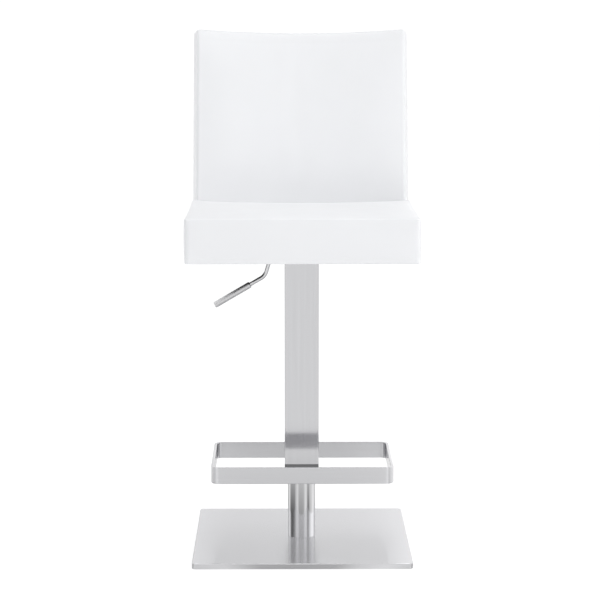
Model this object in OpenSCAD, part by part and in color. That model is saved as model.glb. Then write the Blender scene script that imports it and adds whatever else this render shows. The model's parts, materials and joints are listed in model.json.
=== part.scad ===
/* [Base] */
// Side of the square base
base_w = 390; // [320:5:460]
// Plan radius of the base's corners
base_corner_r = 7; // [3:1:20]
// Thickness of the non-slip pad under the base
pad_t = 1.5; // [1.2:0.1:3]
// How far the pad's edge lies inside the weight plate's edge
pad_inset = 5; // [2:1:20]
// Thickness of the steel weight plate
weight_t = 7.8; // [6.5:0.1:12]
// Thickness of the stainless cover sheet
cover_t = 1.2; // [0.8:0.1:2]
// Height of the cover's skirt above the floor
skirt_gap = 0.5; // [0.5:0.1:1.2]

/* [Round column] */
// Outer diameter of the round tube on the base
tube_d = 50; // [44:1:53]
// Wall of the round tube
tube_wall = 2; // [1.5:0.5:3]
// Height of the threaded plug in the tube's foot
foot_h = 16.2; // [14:0.1:30]
// Diameter of the bolts that hold the foot to the base
foot_bolt_d = 8; // [6:1:8]
// Pitch circle of the foot bolts
foot_bolt_pcd = 33; // [31:1:35]
// Length of the plastic liner that guides the gas spring
liner_len = 126; // [80:1:160]
// Thickness of the liner's rim on top of the tube
liner_rim_t = 3; // [2:0.5:6]
// Free height above the liner with the seat at its lowest
head_room = 7; // [3:1:15]

/* [Swivel bearing] */
// Thickness of each bearing washer
washer_t = 2; // [1.5:0.5:3]
// Outer diameter of the bearing washers
washer_d = 24; // [23:1:30]
// Diameter of the bearing balls
ball_d = 4; // [3:0.5:4.5]
// Number of bearing balls
ball_count = 8; // [6:1:9]
// Pitch circle of the balls
ball_pcd = 17; // [16:0.5:18]
// Thickness of the ball cage
cage_t = 2; // [1.5:0.5:2.5]
// Height of the rubber bumper that stops the seat at its lowest
bumper_h = 18; // [10:1:40]
// Outer diameter of the rubber bumper
bumper_d = 22; // [18:1:26]

/* [Gas spring] */
// Outer diameter of the pressure tube
spring_d = 28; // [26:1:30]
// Bore of the pressure tube
spring_bore = 22; // [19:1:23]
// Diameter of the piston rod
rod_d = 10; // [10:1:12]
// Diameter of the rod's turned ends
rod_end_d = 8; // [7:0.5:8]
// Height of the piston
piston_h = 15; // [12:1:25]
// Height of the seal and guide at the tube's lower end
gland_h = 25; // [15:1:40]
// Thickness of the tube's lower lip
lip_t = 1.5; // [1:0.5:3]
// Height of the valve block in the tube's top
valve_h = 30; // [20:1:36]
// Diameter of the release pin
pin_d = 6; // [5:0.5:8]
// How far the release pin stands out of the tube's top
pin_stand = 5.2; // [5:0.1:6]
// How much the tube narrows in the taper socket
taper_drop = 2; // [1:0.5:3]
// How far the seat goes down from where it is drawn
lift_down = 60; // [20:5:90]
// How far the seat goes up from where it is drawn
lift_up = 150; // [50:5:160]

/* [Square column] */
// Outer width of the square column
col_w = 62; // [60:1:70]
// Wall of the square column
col_wall = 2; // [1.5:0.5:2]
// Outer corner radius of the square column
col_corner_r = 2.5; // [2.1:0.1:5]
// Height of the steel column's lower edge
col_z0 = 151; // [120:1:200]
// Height of the plastic collar below the steel edge
collar_h = 8; // [4:1:20]
// Length of the collar's spigot inside the column
spigot_len = 28; // [26:1:60]
// Thickness of the head plate welded into the column's top
head_t = 5; // [4:1:8]
// Distance of the head screws from the column's axes
head_screw_at = 22; // [21.5:0.5:23]

/* [Footrest] */
// Outer width of the footrest loop
rest_w = 322; // [240:2:380]
// Outer depth of the footrest loop
rest_d = 210; // [160:2:260]
// Thickness of the footrest's flat bar
bar_t = 5; // [4:0.5:8]
// Height of the footrest's flat bar
bar_h = 29.5; // [24:0.5:50]
// Outer corner radius of the footrest
rest_corner_r = 15; // [9:1:40]
// How far the footrest's lower edge lies below the steel column's edge
rest_drop = 2; // [0:1:6]
// Distance of each footrest screw from the middle
rest_screw_x = 18; // [14:1:20]

/* [Seat plate and lever] */
// Height of the pressed pan under the seat
pan_h = 18; // [18:0.5:28]
// Outer width of the pan
pan_w = 84; // [80:1:90]
// Thickness of the pan's floor
pan_floor_t = 3; // [2.5:0.5:3]
// Thickness of the pan's walls and flange
pan_wall = 2.5; // [2:0.5:3]
// Width of the pan's flange
flange_w = 130; // [126:1:150]
// Distance of the flange bolts from the middle
flange_bolt_at = 53; // [52:1:56]
// Height of the taper socket below the pan
hub_h = 42; // [30:1:60]
// Outer diameter of the taper socket
hub_d = 44; // [38:1:45]
// Diameter of the lever's rod
lever_d = 7.5; // [6:0.5:7.5]
// Distance of the lever's pivot from the column's axis
pivot_x = 28; // [26:0.5:30]
// Diameter of the pivot pin
pivot_d = 4; // [3:0.5:4.5]
// Diameter of the sleeve on the lever's pivot
sleeve_d = 10; // [9.5:0.1:10.2]
// Length of the sleeve on the lever's pivot
sleeve_len = 11; // [9:0.5:12]
// Reach of the lever past the column's axis
lever_tip = 10; // [8:1:16]
// Distance of the lever's first corner from the column's axis
lever_elbow_x = 55.3; // [54:0.1:60]
// Angle of the lever's drop below level
lever_drop_a = 73.5; // [60:0.5:80]
// Length of the lever's drop between its corners
lever_drop_len = 39.4; // [30:0.1:60]
// Angle of the lever's handle below level
lever_grip_a = 30.5; // [10:0.5:40]
// Length from the lever's second corner to its end
lever_reach = 106.3; // [90:0.1:140]
// Bend radius of the lever's first corner
lever_bend_r = 12; // [8:1:14]
// Bend radius of the lever's second corner
lever_knee_r = 22; // [12:1:28]
// Diameter of the knurled grip
grip_d = 11.5; // [9:0.5:14]
// Length of the knurled grip
grip_len = 75; // [50:1:80]
// Angle that the lever lifts
lever_lift_a = 7; // [3:0.5:7]

/* [Seat] */
// Height of the seat's underside where it is drawn
seat_z0 = 541.5; // [520:0.5:580]
// Width of the seat
seat_w = 408; // [360:2:460]
// Distance of the seat's front from the column's axis
seat_front = 193; // [170:1:220]
// Thickness of the seat
seat_h = 78; // [60:1:100]
// Plan radius of the seat's corners
seat_corner_r = 8; // [7:1:40]
// Radius of the seat's long edges
seat_edge_r = 4; // [3:0.5:9]
// How far the seat's sides are drawn in between their corners
seat_pull = 1; // [0:0.5:5]
// How far the seat's sides swell at half height
seat_swell = 0.5; // [0:0.5:4]
// Crown of the seat's top
seat_crown = 2; // [0:0.5:10]
// How far the seat's top dips at the rear middle
seat_dip = 10; // [0:1:16]
// Thickness of the plywood seat board
board_t = 14; // [12:0.5:18]
// Width of the upholstery's rim around the seat board
board_inset = 13; // [12:1:30]
// Distance of the seat board's rear edge from the column's axis
board_rear = 100; // [90:1:104]
// Thickness of the cloth under the seat board
dust_t = 0.8; // [0.5:0.1:1.5]

/* [Backrest] */
// Width of the backrest's face, along its curve
back_w = 395; // [360:1:440]
// Height of the backrest above the seat, along its rake
back_rise = 318.5; // [240:0.1:400]
// Thickness of the backrest at its edges
back_t = 46; // [42:1:60]
// Depth of the backrest's curve across its width
back_sag = 17; // [14:1:32]
// Rake of the backrest
back_rake = 10; // [5:0.5:14]
// Distance of the backrest's face from the column's axis at the seat
back_y = 159; // [156:1:180]
// Radius of the backrest's top corners
back_corner_r = 7; // [6:1:40]
// Radius of the backrest's long edges
back_edge_r = 9; // [5:0.5:12]
// How much the backrest's top narrows at each side
back_taper = 1.5; // [0:0.5:10]
// How far the backrest's top edge dips in the middle
back_dip = 5; // [0:0.5:12]
// Crown of the backrest's front
back_crown = 6; // [0:0.5:12]
// Crown of the backrest's rear
back_crown_rear = 3; // [0:0.5:8]
// Thickness of the bent plywood board in the backrest
ply_t = 12; // [11:0.5:14]
// Depth of the plywood board behind the backrest's face
ply_depth = 22; // [18:1:24]
// Arc width of the plywood board
ply_w = 350; // [300:2:360]
// Distance from the plywood board's top to the backrest's top
ply_top_gap = 22; // [14:1:60]
// Width of each steel bracket
bracket_w = 24; // [18:1:30]
// Thickness of each steel bracket
bracket_t = 4; // [3:0.5:5]
// Distance of each bracket from the middle
bracket_x = 110; // [100:1:120]
// Length of the bracket's upright leg
bracket_up = 110; // [80:1:160]
// Distance of the bracket's front end from the column's axis
bracket_front = 30; // [20:1:50]
// Distance of the front bracket screws from the bracket's front end
bracket_screw_front = 20; // [8:1:24]
// Distance of the rear bracket screws from the seat board's rear edge
bracket_screw_rear = 18; // [12:1:20]
// Height of the lower screws in the brackets' upright legs
back_screw_low = 10; // [6:1:16]
// Distance of the upper screws from the legs' top
back_screw_edge = 23; // [10:1:30]

/* [Hidden] */
$fn = 64;

// Radial clearance of sliding and turning fits
fit = 0.05;
// Gap between neighbours that move past each other
gap = 0.3;
// Gap left between a stop and what it stops
stop_gap = 2;
// How far a cutting shape runs past what it cuts
over = 1;

// Thread and head sizes of the screws
m6_d = 6;
m6_hole = 6.4;
m6_button_d = 10.5;
m6_button_h = 3.3;
m6_hex_af = 10;
m6_hex_h = 4;
m6_nut_h = 5;
wood_screw_d = 4.5;
wood_head_d = 8;
wood_head_h = 2;
thread_gap = 0.05;
// Land left around a hole or over a screw's tip
land = 4;
screw_cover = 3;
back_screw_bite = 3;
// Tee nuts
tee_flange_d = 19;
tee_flange_t = 1.2;
tee_barrel_d = m6_d + 2.4;
tee_short = 3;

// Levels of the base, from the floor up
weight_top = pad_t + weight_t;
base_top = weight_top + cover_t;
foot_top = weight_top + foot_h;
clip_pocket_d = 20;
clip_pocket_h = 5.2;
clip_t = 1.2;
clip_d = 14;
clip_mouth = 10;
groove_depth = 1;
clip_z = weight_top + clip_pocket_h - gap - clip_t;
tube_id = tube_d - 2 * tube_wall;
foot_bolt_head_d = 1.9 * foot_bolt_d;

// Levels of the bearing and of the gas spring
ball_z = foot_top + washer_t + fit + ball_d / 2;
upper_washer_z = foot_top + washer_t + 2 * fit + ball_d;
shoulder_z = upper_washer_z + washer_t;
cage_rim = 2;
bumper_top = shoulder_z + bumper_h;
spring_z0 = bumper_top + lift_down + stop_gap;
gland_top = spring_z0 + lip_t + gland_h;
piston_z = gland_top + lift_up + stop_gap;
piston_groove = 3;

// Levels of the square column and of what it carries
pan_z = seat_z0 - pan_h;
pan_floor_top = pan_z + pan_floor_t;
hub_z = pan_z - hub_h;
pan_r = 6;
flange_r = 8;
pan_hole_d = 2 * max(spring_d / 2 + over, lever_tip + over);
slot_gap = 1;
spring_top = pan_z;
spring_top_d = spring_d - taper_drop;
lip_bore = spring_bore - 4;
valve_floor = 2;
tube_top = hub_z - lift_down - head_room - liner_rim_t;
col_in = col_w - 2 * col_wall;
col_in_r = max(0.4, col_corner_r - col_wall);
rest_z = col_z0 - rest_drop;
rest_back_y = col_w / 2 + bar_t;
rest_front_y = rest_back_y - rest_d;
rest_screw_z = rest_z + bar_h / 2;

// Lever
pin_top = spring_top + pin_stand;
lever_z = pin_top + gap + lever_d / 2;
pin_travel = pivot_x * tan(lever_lift_a) + gap;
ear_in = sleeve_d / 2 + 2 * gap;
ear_t = pan_wall;
ear_w = 12;
ear_top = lever_z + pivot_d / 2 + land;
pivot_head_t = 2;
pivot_groove = 0.6;
elbow = [-lever_elbow_x, lever_z];
knee = elbow - lever_drop_len * [cos(lever_drop_a), sin(lever_drop_a)];
lever_end = knee - lever_reach * [cos(lever_grip_a), sin(lever_grip_a)];
grip_wall_end = 2;

// Seat and backrest
seat_top = seat_z0 + seat_h;
board_z = seat_z0 + dust_t;
board_front = seat_front - board_inset;
board_half = seat_w / 2 - board_inset;
board_r = 10;
soft_gap = 0.5;
back_half = back_w / 2;
back_r = (back_half * back_half + back_sag * back_sag) / (2 * back_sag);
ply_gap = 0.3;
ply_z0 = seat_z0 + 2;
ply_top = back_rise - ply_top_gap;
leg_top = bracket_up - 3 * bracket_t;
leg_side_gap = 0.2;
slot_r = 0.5;
leg_y = sqrt(pow(back_r + ply_depth, 2) - pow(bracket_x - bracket_w / 2, 2)) - back_r + leg_side_gap;
flat = 0.02;

// Shapes that several pieces share

// A square plate with rounded corners, in plan
module rounded_plan(w, d, r) {
    square([w - 2 * r, d], center = true);
    square([w, d - 2 * r], center = true);
    for (sx = [-1, 1], sy = [-1, 1])
        translate([sx * (w / 2 - r), sy * (d / 2 - r)]) circle(r);
}

// A rounded plate standing on height z
module plate(w, d, r, z, h) {
    translate([0, 0, z]) linear_extrude(h) rounded_plan(w, d, r);
}

// A round disc or ring standing on height z
module ring(d, bore, z, h) {
    translate([0, 0, z]) difference() {
        cylinder(d = d, h = h);
        if (bore > 0) translate([0, 0, -over]) cylinder(d = bore, h = h + 2 * over);
    }
}

// A countersunk screw, or the cut for one, from the head's face upwards
module countersunk(head_d, d, head_h, length, below) {
    rotate_extrude() polygon([
        [0, -below], [head_d / 2, -below], [head_d / 2, 0], [d / 2, head_h], [d / 2, length], [0, length]
    ]);
}

// The same thing at the four corners of a square
module at_corners(at) {
    for (sx = [-1, 1], sy = [-1, 1]) translate([sx * at, sy * at, 0]) children();
}

// The same thing at both sides of the middle
module at_sides(x) {
    for (s = [-1, 1]) translate([s * x, 0, 0]) children();
}

// The same thing around the foot's bolt circle
module at_foot_bolts() {
    for (i = [0:3]) rotate([0, 0, 45 + 90 * i]) translate([foot_bolt_pcd / 2, 0, 0]) children();
}

// Leatherette, steel and plastic colours
leatherette = [0.95, 0.95, 0.94];
brushed = [0.77, 0.77, 0.76];
polished = [0.84, 0.84, 0.84];
zinc = [0.66, 0.67, 0.68];
dark_plastic = [0.22, 0.22, 0.23];
grey_plastic = [0.55, 0.56, 0.57];
black_steel = [0.13, 0.13, 0.14];
birch = [0.80, 0.68, 0.50];
black_cloth = [0.10, 0.10, 0.10];

// Base and round column

// Full sheet of felted rubber under the weight
module floor_pad() {
    side = base_w - 2 * (cover_t + pad_inset);
    color(black_cloth) plate(side, side, base_corner_r, 0, pad_t);
}

// Steel plate that keeps the stool from tipping
module base_weight() {
    side = base_w - 2 * cover_t - 2 * fit;
    color(black_steel) difference() {
        plate(side, side, base_corner_r - cover_t, pad_t, weight_t);
        at_foot_bolts() translate([0, 0, pad_t])
            countersunk(foot_bolt_head_d, foot_bolt_d, foot_bolt_d / 2, weight_t + over, over);
    }
}

// Stainless pan pressed over the weight plate
module base_cover() {
    side = base_w - 2 * cover_t;
    color(brushed) difference() {
        plate(base_w, base_w, base_corner_r, skirt_gap, base_top - skirt_gap);
        plate(side, side, base_corner_r - cover_t, skirt_gap - over, weight_top - skirt_gap + over);
        translate([0, 0, weight_top - over]) cylinder(d = tube_id + 2 * fit, h = cover_t + 2 * over);
    }
}

// Round tube that stands on the cover
module column_tube() {
    color(polished) ring(tube_d, tube_id, base_top, tube_top - base_top);
}

// Plug in the tube's foot, with the rod's bore and four threaded holes
module column_foot() {
    color(zinc) difference() {
        ring(tube_id, rod_end_d + 2 * fit, weight_top, foot_h);
        translate([0, 0, weight_top - over]) cylinder(d = clip_pocket_d, h = clip_pocket_h + over);
        at_foot_bolts() translate([0, 0, weight_top - over])
            cylinder(d = foot_bolt_d, h = foot_h - land / 2 + over);
    }
}

// Four countersunk bolts from below
module foot_bolts() {
    color(zinc) at_foot_bolts() translate([0, 0, pad_t])
        countersunk(foot_bolt_head_d - 2 * thread_gap, foot_bolt_d - 2 * thread_gap,
            foot_bolt_d / 2, weight_t + foot_h - land, 0);
}

// Plastic liner in which the pressure tube slides and turns
module tube_liner() {
    color(dark_plastic) difference() {
        union() {
            ring(tube_id, 0, tube_top - liner_len, liner_len);
            ring(tube_d, 0, tube_top, liner_rim_t);
        }
        translate([0, 0, tube_top - liner_len - over])
            cylinder(d = spring_d + 2 * fit, h = liner_len + liner_rim_t + 2 * over);
    }
}

// Swivel bearing

module bearing_lower_washer() {
    color(zinc) ring(washer_d, rod_end_d + 2 * fit, foot_top, washer_t);
}

// Flat ring with a pocket for each ball
module bearing_cage() {
    color(grey_plastic) difference() {
        ring(ball_pcd + ball_d + cage_rim, rod_end_d + cage_rim, ball_z - cage_t / 2, cage_t);
        for (i = [0:ball_count - 1]) rotate([0, 0, 360 * i / ball_count])
            translate([ball_pcd / 2, 0, ball_z - ball_d]) cylinder(d = ball_d + 4 * fit, h = 2 * ball_d);
    }
}

module bearing_balls() {
    color(polished) for (i = [0:ball_count - 1]) rotate([0, 0, 360 * i / ball_count])
        translate([ball_pcd / 2, 0, ball_z]) sphere(d = ball_d);
}

module bearing_upper_washer() {
    color(zinc) ring(washer_d, rod_end_d, upper_washer_z, washer_t);
}

// Rubber ring that the pressure tube meets at its lowest
module stop_bumper() {
    color(black_cloth) ring(bumper_d, rod_d, shoulder_z, bumper_h);
}

// Gas spring

// Rod with a turned end in the foot and one in the piston
module piston_rod() {
    end_z = weight_top + stop_gap;
    color(polished) difference() {
        union() {
            translate([0, 0, end_z]) cylinder(d = rod_end_d, h = shoulder_z - end_z);
            translate([0, 0, shoulder_z]) cylinder(d = rod_d, h = piston_z - shoulder_z);
            translate([0, 0, piston_z]) cylinder(d = rod_end_d, h = piston_h);
        }
        ring(rod_end_d + over, rod_end_d - 2 * groove_depth, clip_z, clip_t);
    }
}

// Spring clip in the rod's groove, below the foot's bore
module rod_clip() {
    color(zinc) difference() {
        ring(clip_d, rod_end_d - 2 * groove_depth, clip_z, clip_t);
        translate([0, 0, clip_z + clip_t / 2])
            linear_extrude(clip_t + 2 * over, center = true)
                polygon([[0, 0], [clip_d, -clip_mouth / 2], [clip_d, clip_mouth / 2]]);
    }
}

module piston() {
    color(zinc) difference() {
        ring(spring_bore - 2 * gap, rod_end_d, piston_z, piston_h);
        ring(spring_bore + over, lip_bore, piston_z + (piston_h - piston_groove) / 2, piston_groove);
    }
}

// Seal in the piston's groove
module piston_ring() {
    thick = piston_groove - 4 * fit;
    color(black_cloth) ring(spring_bore - 2 * fit, lip_bore, piston_z + (piston_h - thick) / 2, thick);
}

// Tube with its bore, its lower lip and its tapered top
module pressure_tube() {
    color(black_steel) difference() {
        union() {
            translate([0, 0, spring_z0]) cylinder(d = spring_d, h = hub_z - spring_z0);
            translate([0, 0, hub_z]) cylinder(d1 = spring_d, d2 = spring_top_d, h = spring_top - hub_z);
        }
        translate([0, 0, spring_z0 + lip_t]) cylinder(d = spring_bore, h = spring_top - spring_z0);
        translate([0, 0, spring_z0 - over]) cylinder(d = lip_bore, h = lip_t + 2 * over);
    }
}

// Seal and guide at the tube's lower end
module tube_gland() {
    color(dark_plastic) ring(spring_bore, rod_d + 2 * fit, spring_z0 + lip_t, gland_h);
}

// Valve block that closes the tube's top around the release pin
module valve_block() {
    color(zinc) difference() {
        translate([0, 0, spring_top - valve_h]) cylinder(d = spring_bore, h = valve_h);
        translate([0, 0, spring_top - valve_h + valve_floor]) cylinder(d = pin_d + 2 * fit, h = valve_h);
    }
}

// Pin that opens the valve, with a domed top
module release_pin() {
    dome_r = pin_d;
    pin_z = spring_top - valve_h + valve_floor + pin_travel + gap;
    color(polished) intersection() {
        translate([0, 0, pin_z]) cylinder(d = pin_d, h = pin_top - pin_z);
        translate([0, 0, pin_top - dome_r]) union() {
            sphere(dome_r);
            translate([0, 0, -valve_h]) cylinder(r = dome_r, h = valve_h);
        }
    }
}

// Seat plate

// Socket that grips the tapered top of the pressure tube
module taper_hub() {
    color(zinc) translate([0, 0, hub_z]) difference() {
        cylinder(d = hub_d, h = hub_h);
        cylinder(d1 = spring_d, d2 = spring_top_d - taper_drop * over / hub_h, h = hub_h + over);
        translate([0, 0, -over]) cylinder(d = spring_d, h = over + flat);
    }
}

// Pressed pan with a flange, two ears for the pivot and a slot for the lever
module mechanism_pan() {
    in_w = pan_w - 2 * pan_wall;
    slot_w = lever_d + 2 * slot_gap;
    ear_foot = pan_floor_top - over / 2;
    slot_z0 = lever_z - lever_d / 2 - slot_gap;
    slot_z1 = lever_z + lever_d / 2 + (pan_w / 2 - pivot_x) * tan(lever_lift_a) + slot_gap;
    color(black_steel) difference() {
        union() {
            difference() {
                union() {
                    plate(pan_w, pan_w, pan_r, pan_z, pan_h);
                    plate(flange_w, flange_w, flange_r, seat_z0 - pan_wall, pan_wall);
                }
                plate(in_w, in_w, pan_r - pan_wall, pan_floor_top, pan_h);
            }
            for (s = [-1, 1])
                translate([-pivot_x, s * (ear_in + ear_t / 2), (ear_foot + ear_top) / 2])
                    cube([ear_w, ear_t, ear_top - ear_foot], center = true);
        }
        translate([0, 0, pan_z - over]) cylinder(d = pan_hole_d, h = pan_floor_t + 2 * over);
        at_corners(head_screw_at) translate([0, 0, pan_z - over])
            cylinder(d = m6_hole, h = pan_floor_t + 2 * over);
        at_corners(flange_bolt_at) translate([0, 0, seat_z0 - pan_wall - over])
            cylinder(d = m6_hole, h = pan_wall + 2 * over);
        translate([-pan_w / 2 - over, -slot_w / 2, slot_z0])
            cube([pan_wall + 2 * over, slot_w, slot_z1 - slot_z0]);
        translate([-pivot_x, 0, lever_z]) rotate([90, 0, 0])
            cylinder(d = pivot_d, h = 2 * (ear_in + ear_t + over), center = true);
    }
}

// Plate welded inside the square column's top
module column_head() {
    color(zinc) difference() {
        plate(col_in, col_in, col_in_r, pan_z - head_t, head_t);
        translate([0, 0, pan_z - head_t - over]) cylinder(d = hub_d + 2 * fit, h = head_t + 2 * over);
        at_corners(head_screw_at) translate([0, 0, pan_z - head_t - over])
            cylinder(d = m6_d, h = head_t + 2 * over);
    }
}

// Four button-head screws from inside the pan into the column's head
module head_screws() {
    color(zinc) at_corners(head_screw_at) {
        translate([0, 0, pan_floor_top]) cylinder(d = m6_button_d, h = m6_button_h);
        translate([0, 0, pan_z - head_t]) cylinder(d = m6_d - 2 * thread_gap, h = head_t + pan_floor_t);
    }
}

// Square column

module square_column() {
    color(brushed) difference() {
        plate(col_w, col_w, col_corner_r, col_z0, pan_z - col_z0);
        plate(col_in, col_in, col_in_r, col_z0 - over, pan_z - col_z0 + 2 * over);
        at_sides(rest_screw_x) translate([0, col_w / 2 - col_wall - over, rest_screw_z])
            rotate([-90, 0, 0]) cylinder(d = m6_hole, h = col_wall + 2 * over);
    }
}

// Plastic collar that runs on the round tube, with its spigot in the column
module column_collar() {
    nut_room = m6_hex_af + land;
    notch_y = col_in / 2 - m6_nut_h - gap;
    notch_z = rest_screw_z - nut_room / 2;
    color(dark_plastic) difference() {
        union() {
            plate(col_w, col_w, col_corner_r, col_z0 - collar_h, collar_h);
            plate(col_in - 2 * fit, col_in - 2 * fit, col_in_r, col_z0 - flat, spigot_len + flat);
        }
        translate([0, 0, col_z0 - collar_h - over])
            cylinder(d = tube_d + 2 * fit, h = collar_h + spigot_len + 2 * over);
        at_sides(rest_screw_x) translate([-nut_room / 2, notch_y, notch_z])
            cube([nut_room, m6_nut_h + over, col_z0 + spigot_len - notch_z + over]);
    }
}

// Footrest

// Flat bar bent to a closed loop
module footrest() {
    mid_y = (rest_front_y + rest_back_y) / 2;
    color(brushed) difference() {
        translate([0, mid_y, 0]) plate(rest_w, rest_d, rest_corner_r, rest_z, bar_h);
        translate([0, mid_y, 0])
            plate(rest_w - 2 * bar_t, rest_d - 2 * bar_t, rest_corner_r - bar_t,
                rest_z - over, bar_h + 2 * over);
        at_sides(rest_screw_x) translate([0, col_w / 2 - over, rest_screw_z])
            rotate([-90, 0, 0]) cylinder(d = m6_hole, h = bar_t + 2 * over);
    }
}

// Two button-head screws through the footrest's back bar
module footrest_screws() {
    color(zinc) at_sides(rest_screw_x) translate([0, rest_back_y, rest_screw_z]) rotate([-90, 0, 0]) {
        cylinder(d = m6_button_d, h = m6_button_h);
        translate([0, 0, -bar_t - col_wall - m6_nut_h])
            cylinder(d = m6_d - 2 * thread_gap, h = bar_t + col_wall + m6_nut_h);
    }
}

// Two weld nuts inside the column
module footrest_nuts() {
    color(zinc) at_sides(rest_screw_x) translate([0, col_in / 2 - m6_nut_h, rest_screw_z]) rotate([-90, 0, 0])
        difference() {
            cylinder(d = m6_hex_af / cos(30), h = m6_nut_h, $fn = 6);
            translate([0, 0, -over]) cylinder(d = m6_d, h = m6_nut_h + 2 * over);
        }
}

// Release lever

// A straight stretch of round bar between two points of the lever's plane, run past each end
module bar_between(p, q, d, past_p, past_q) {
    step = q - p;
    translate([p.x, 0, p.y]) rotate([0, atan2(step.x, step.y), 0])
        translate([0, 0, -past_p]) cylinder(d = d, h = norm(step) + past_p + past_q);
}

// A bend of the lever: it starts at p with the given heading and turns by the given angle
module bar_bend(p, heading, turn, r, d) {
    side = turn > 0 ? 1 : -1;
    start = heading - 90 * side;
    mid = p - r * [cos(start), sin(start)];
    translate([mid.x, 0, mid.y]) rotate([90, 0, 0]) rotate([0, 0, turn > 0 ? start : start + turn])
        rotate_extrude(angle = abs(turn)) translate([r, 0]) circle(d = d);
}

// Bent bar from the release pin out through the pan's slot and down to the grip
module lever_rod() {
    turn_a = lever_drop_a;
    turn_b = lever_grip_a - lever_drop_a;
    cut_a = lever_bend_r * tan(turn_a / 2);
    cut_b = lever_knee_r * tan(-turn_b / 2);
    drop_dir = [-cos(lever_drop_a), -sin(lever_drop_a)];
    grip_dir = [-cos(lever_grip_a), -sin(lever_grip_a)];
    tip = [lever_tip, lever_z];
    bar_end = lever_end - grip_wall_end * grip_dir;
    bend_d = lever_d + 2 * fit;
    lap = lever_d / 10;
    color(polished) difference() {
        union() {
            bar_between(tip, elbow + [cut_a, 0], lever_d, 0, lap);
            bar_bend(elbow + [cut_a, 0], 180, turn_a, lever_bend_r, bend_d);
            bar_between(elbow + cut_a * drop_dir, knee - cut_b * drop_dir, lever_d, lap, lap);
            bar_bend(knee - cut_b * drop_dir, 180 + lever_drop_a, turn_b, lever_knee_r, bend_d);
            bar_between(knee + cut_b * grip_dir, bar_end, lever_d, lap, 0);
        }
        translate([-pivot_x, 0, lever_z]) rotate([90, 0, 0])
            cylinder(d = pivot_d + 2 * fit, h = lever_d + 2 * over, center = true);
    }
}

// Knurled grip on the lever's end, with chamfered ends
module lever_grip() {
    chamfer = 1;
    grip_dir = [-cos(lever_grip_a), -sin(lever_grip_a)];
    start = lever_end - grip_len * grip_dir;
    color(polished) translate([start.x, 0, start.y]) rotate([0, atan2(grip_dir.x, grip_dir.y), 0])
        rotate_extrude() polygon([
            [lever_d / 2, 0], [grip_d / 2 - chamfer, 0], [grip_d / 2, chamfer],
            [grip_d / 2, grip_len - chamfer], [grip_d / 2 - chamfer, grip_len],
            [0, grip_len], [0, grip_len - grip_wall_end], [lever_d / 2, grip_len - grip_wall_end]
        ]);
}

// Sleeve on the bar, cross-drilled for the pivot pin
module lever_sleeve() {
    color(zinc) translate([-pivot_x, 0, lever_z]) difference() {
        rotate([0, 90, 0]) cylinder(d = sleeve_d, h = sleeve_len, center = true);
        rotate([0, 90, 0]) cylinder(d = lever_d, h = sleeve_len + 2 * over, center = true);
        rotate([90, 0, 0]) cylinder(d = pivot_d + 2 * fit, h = sleeve_d + 2 * over, center = true);
    }
}

// Pin through the pan's ears
module lever_pivot_pin() {
    outer = ear_in + ear_t;
    color(polished) translate([-pivot_x, 0, lever_z]) rotate([90, 0, 0]) difference() {
        union() {
            translate([0, 0, -outer - pivot_head_t]) cylinder(d = pivot_d, h = 2 * (outer + pivot_head_t));
            translate([0, 0, outer]) cylinder(d = pivot_d + 3, h = pivot_head_t);
        }
        translate([0, 0, -outer - clip_t]) ring(pivot_d + over, pivot_d - 2 * pivot_groove, 0, clip_t);
    }
}

// Clip on the pin's other end
module pivot_clip() {
    outer = ear_in + ear_t;
    color(zinc) translate([-pivot_x, outer, lever_z]) rotate([-90, 0, 0]) difference() {
        ring(2 * pivot_d, pivot_d - 2 * pivot_groove, 0, clip_t);
        translate([0, 0, -over]) linear_extrude(clip_t + 2 * over)
            polygon([[0, 0], [2 * pivot_d, -clip_mouth / 4], [2 * pivot_d, clip_mouth / 4]]);
    }
}

// Seat

// A plate with the seat board's outline
module board_plate(z, h) {
    depth = board_front + board_rear;
    translate([0, board_rear - depth / 2, 0]) plate(2 * board_half, depth, board_r, z, h);
}

// Plywood board with a stepped hole for each tee nut
module seat_board() {
    color(birch) difference() {
        board_plate(board_z, board_t);
        at_corners(flange_bolt_at) {
            translate([0, 0, board_z - over]) cylinder(d = tee_barrel_d, h = board_t + 2 * over);
            translate([0, 0, board_z + board_t - tee_flange_t])
                cylinder(d = tee_flange_d, h = over + tee_flange_t);
        }
        at_bracket_screws() translate([0, 0, board_z - over])
            cylinder(d = wood_screw_d, h = board_t - screw_cover + over);
    }
}

// Woven cloth stapled under the board
module dust_cloth() {
    color(black_cloth) difference() {
        board_plate(seat_z0, dust_t);
        at_corners(flange_bolt_at) translate([0, 0, seat_z0 - over])
            cylinder(d = m6_hole, h = dust_t + 2 * over);
        at_bracket_screws() translate([0, 0, seat_z0 - over])
            cylinder(d = wood_screw_d, h = dust_t + 2 * over);
    }
}

// Hexagon bolts through the pan's flange
module pan_bolts() {
    length = pan_wall + dust_t + board_t - tee_short / 2;
    color(zinc) at_corners(flange_bolt_at) translate([0, 0, seat_z0 - pan_wall]) {
        translate([0, 0, -m6_hex_h]) cylinder(d = m6_hex_af / cos(30), h = m6_hex_h, $fn = 6);
        cylinder(d = m6_d - 2 * thread_gap, h = length);
    }
}

// Tee nuts let into the board's top
module tee_nuts() {
    color(zinc) at_corners(flange_bolt_at) translate([0, 0, board_z]) difference() {
        union() {
            translate([0, 0, tee_short]) cylinder(d = tee_barrel_d, h = board_t - tee_short);
            translate([0, 0, board_t - tee_flange_t]) cylinder(d = tee_flange_d, h = tee_flange_t);
        }
        cylinder(d = m6_d, h = board_t + over);
    }
}

// Upholstered forms: closed rings of points, one above the other

// Part of the way from a to b
function between(a, b, t) = a + (b - a) * t;
function limit01(t) = max(0, min(1, t));

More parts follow.
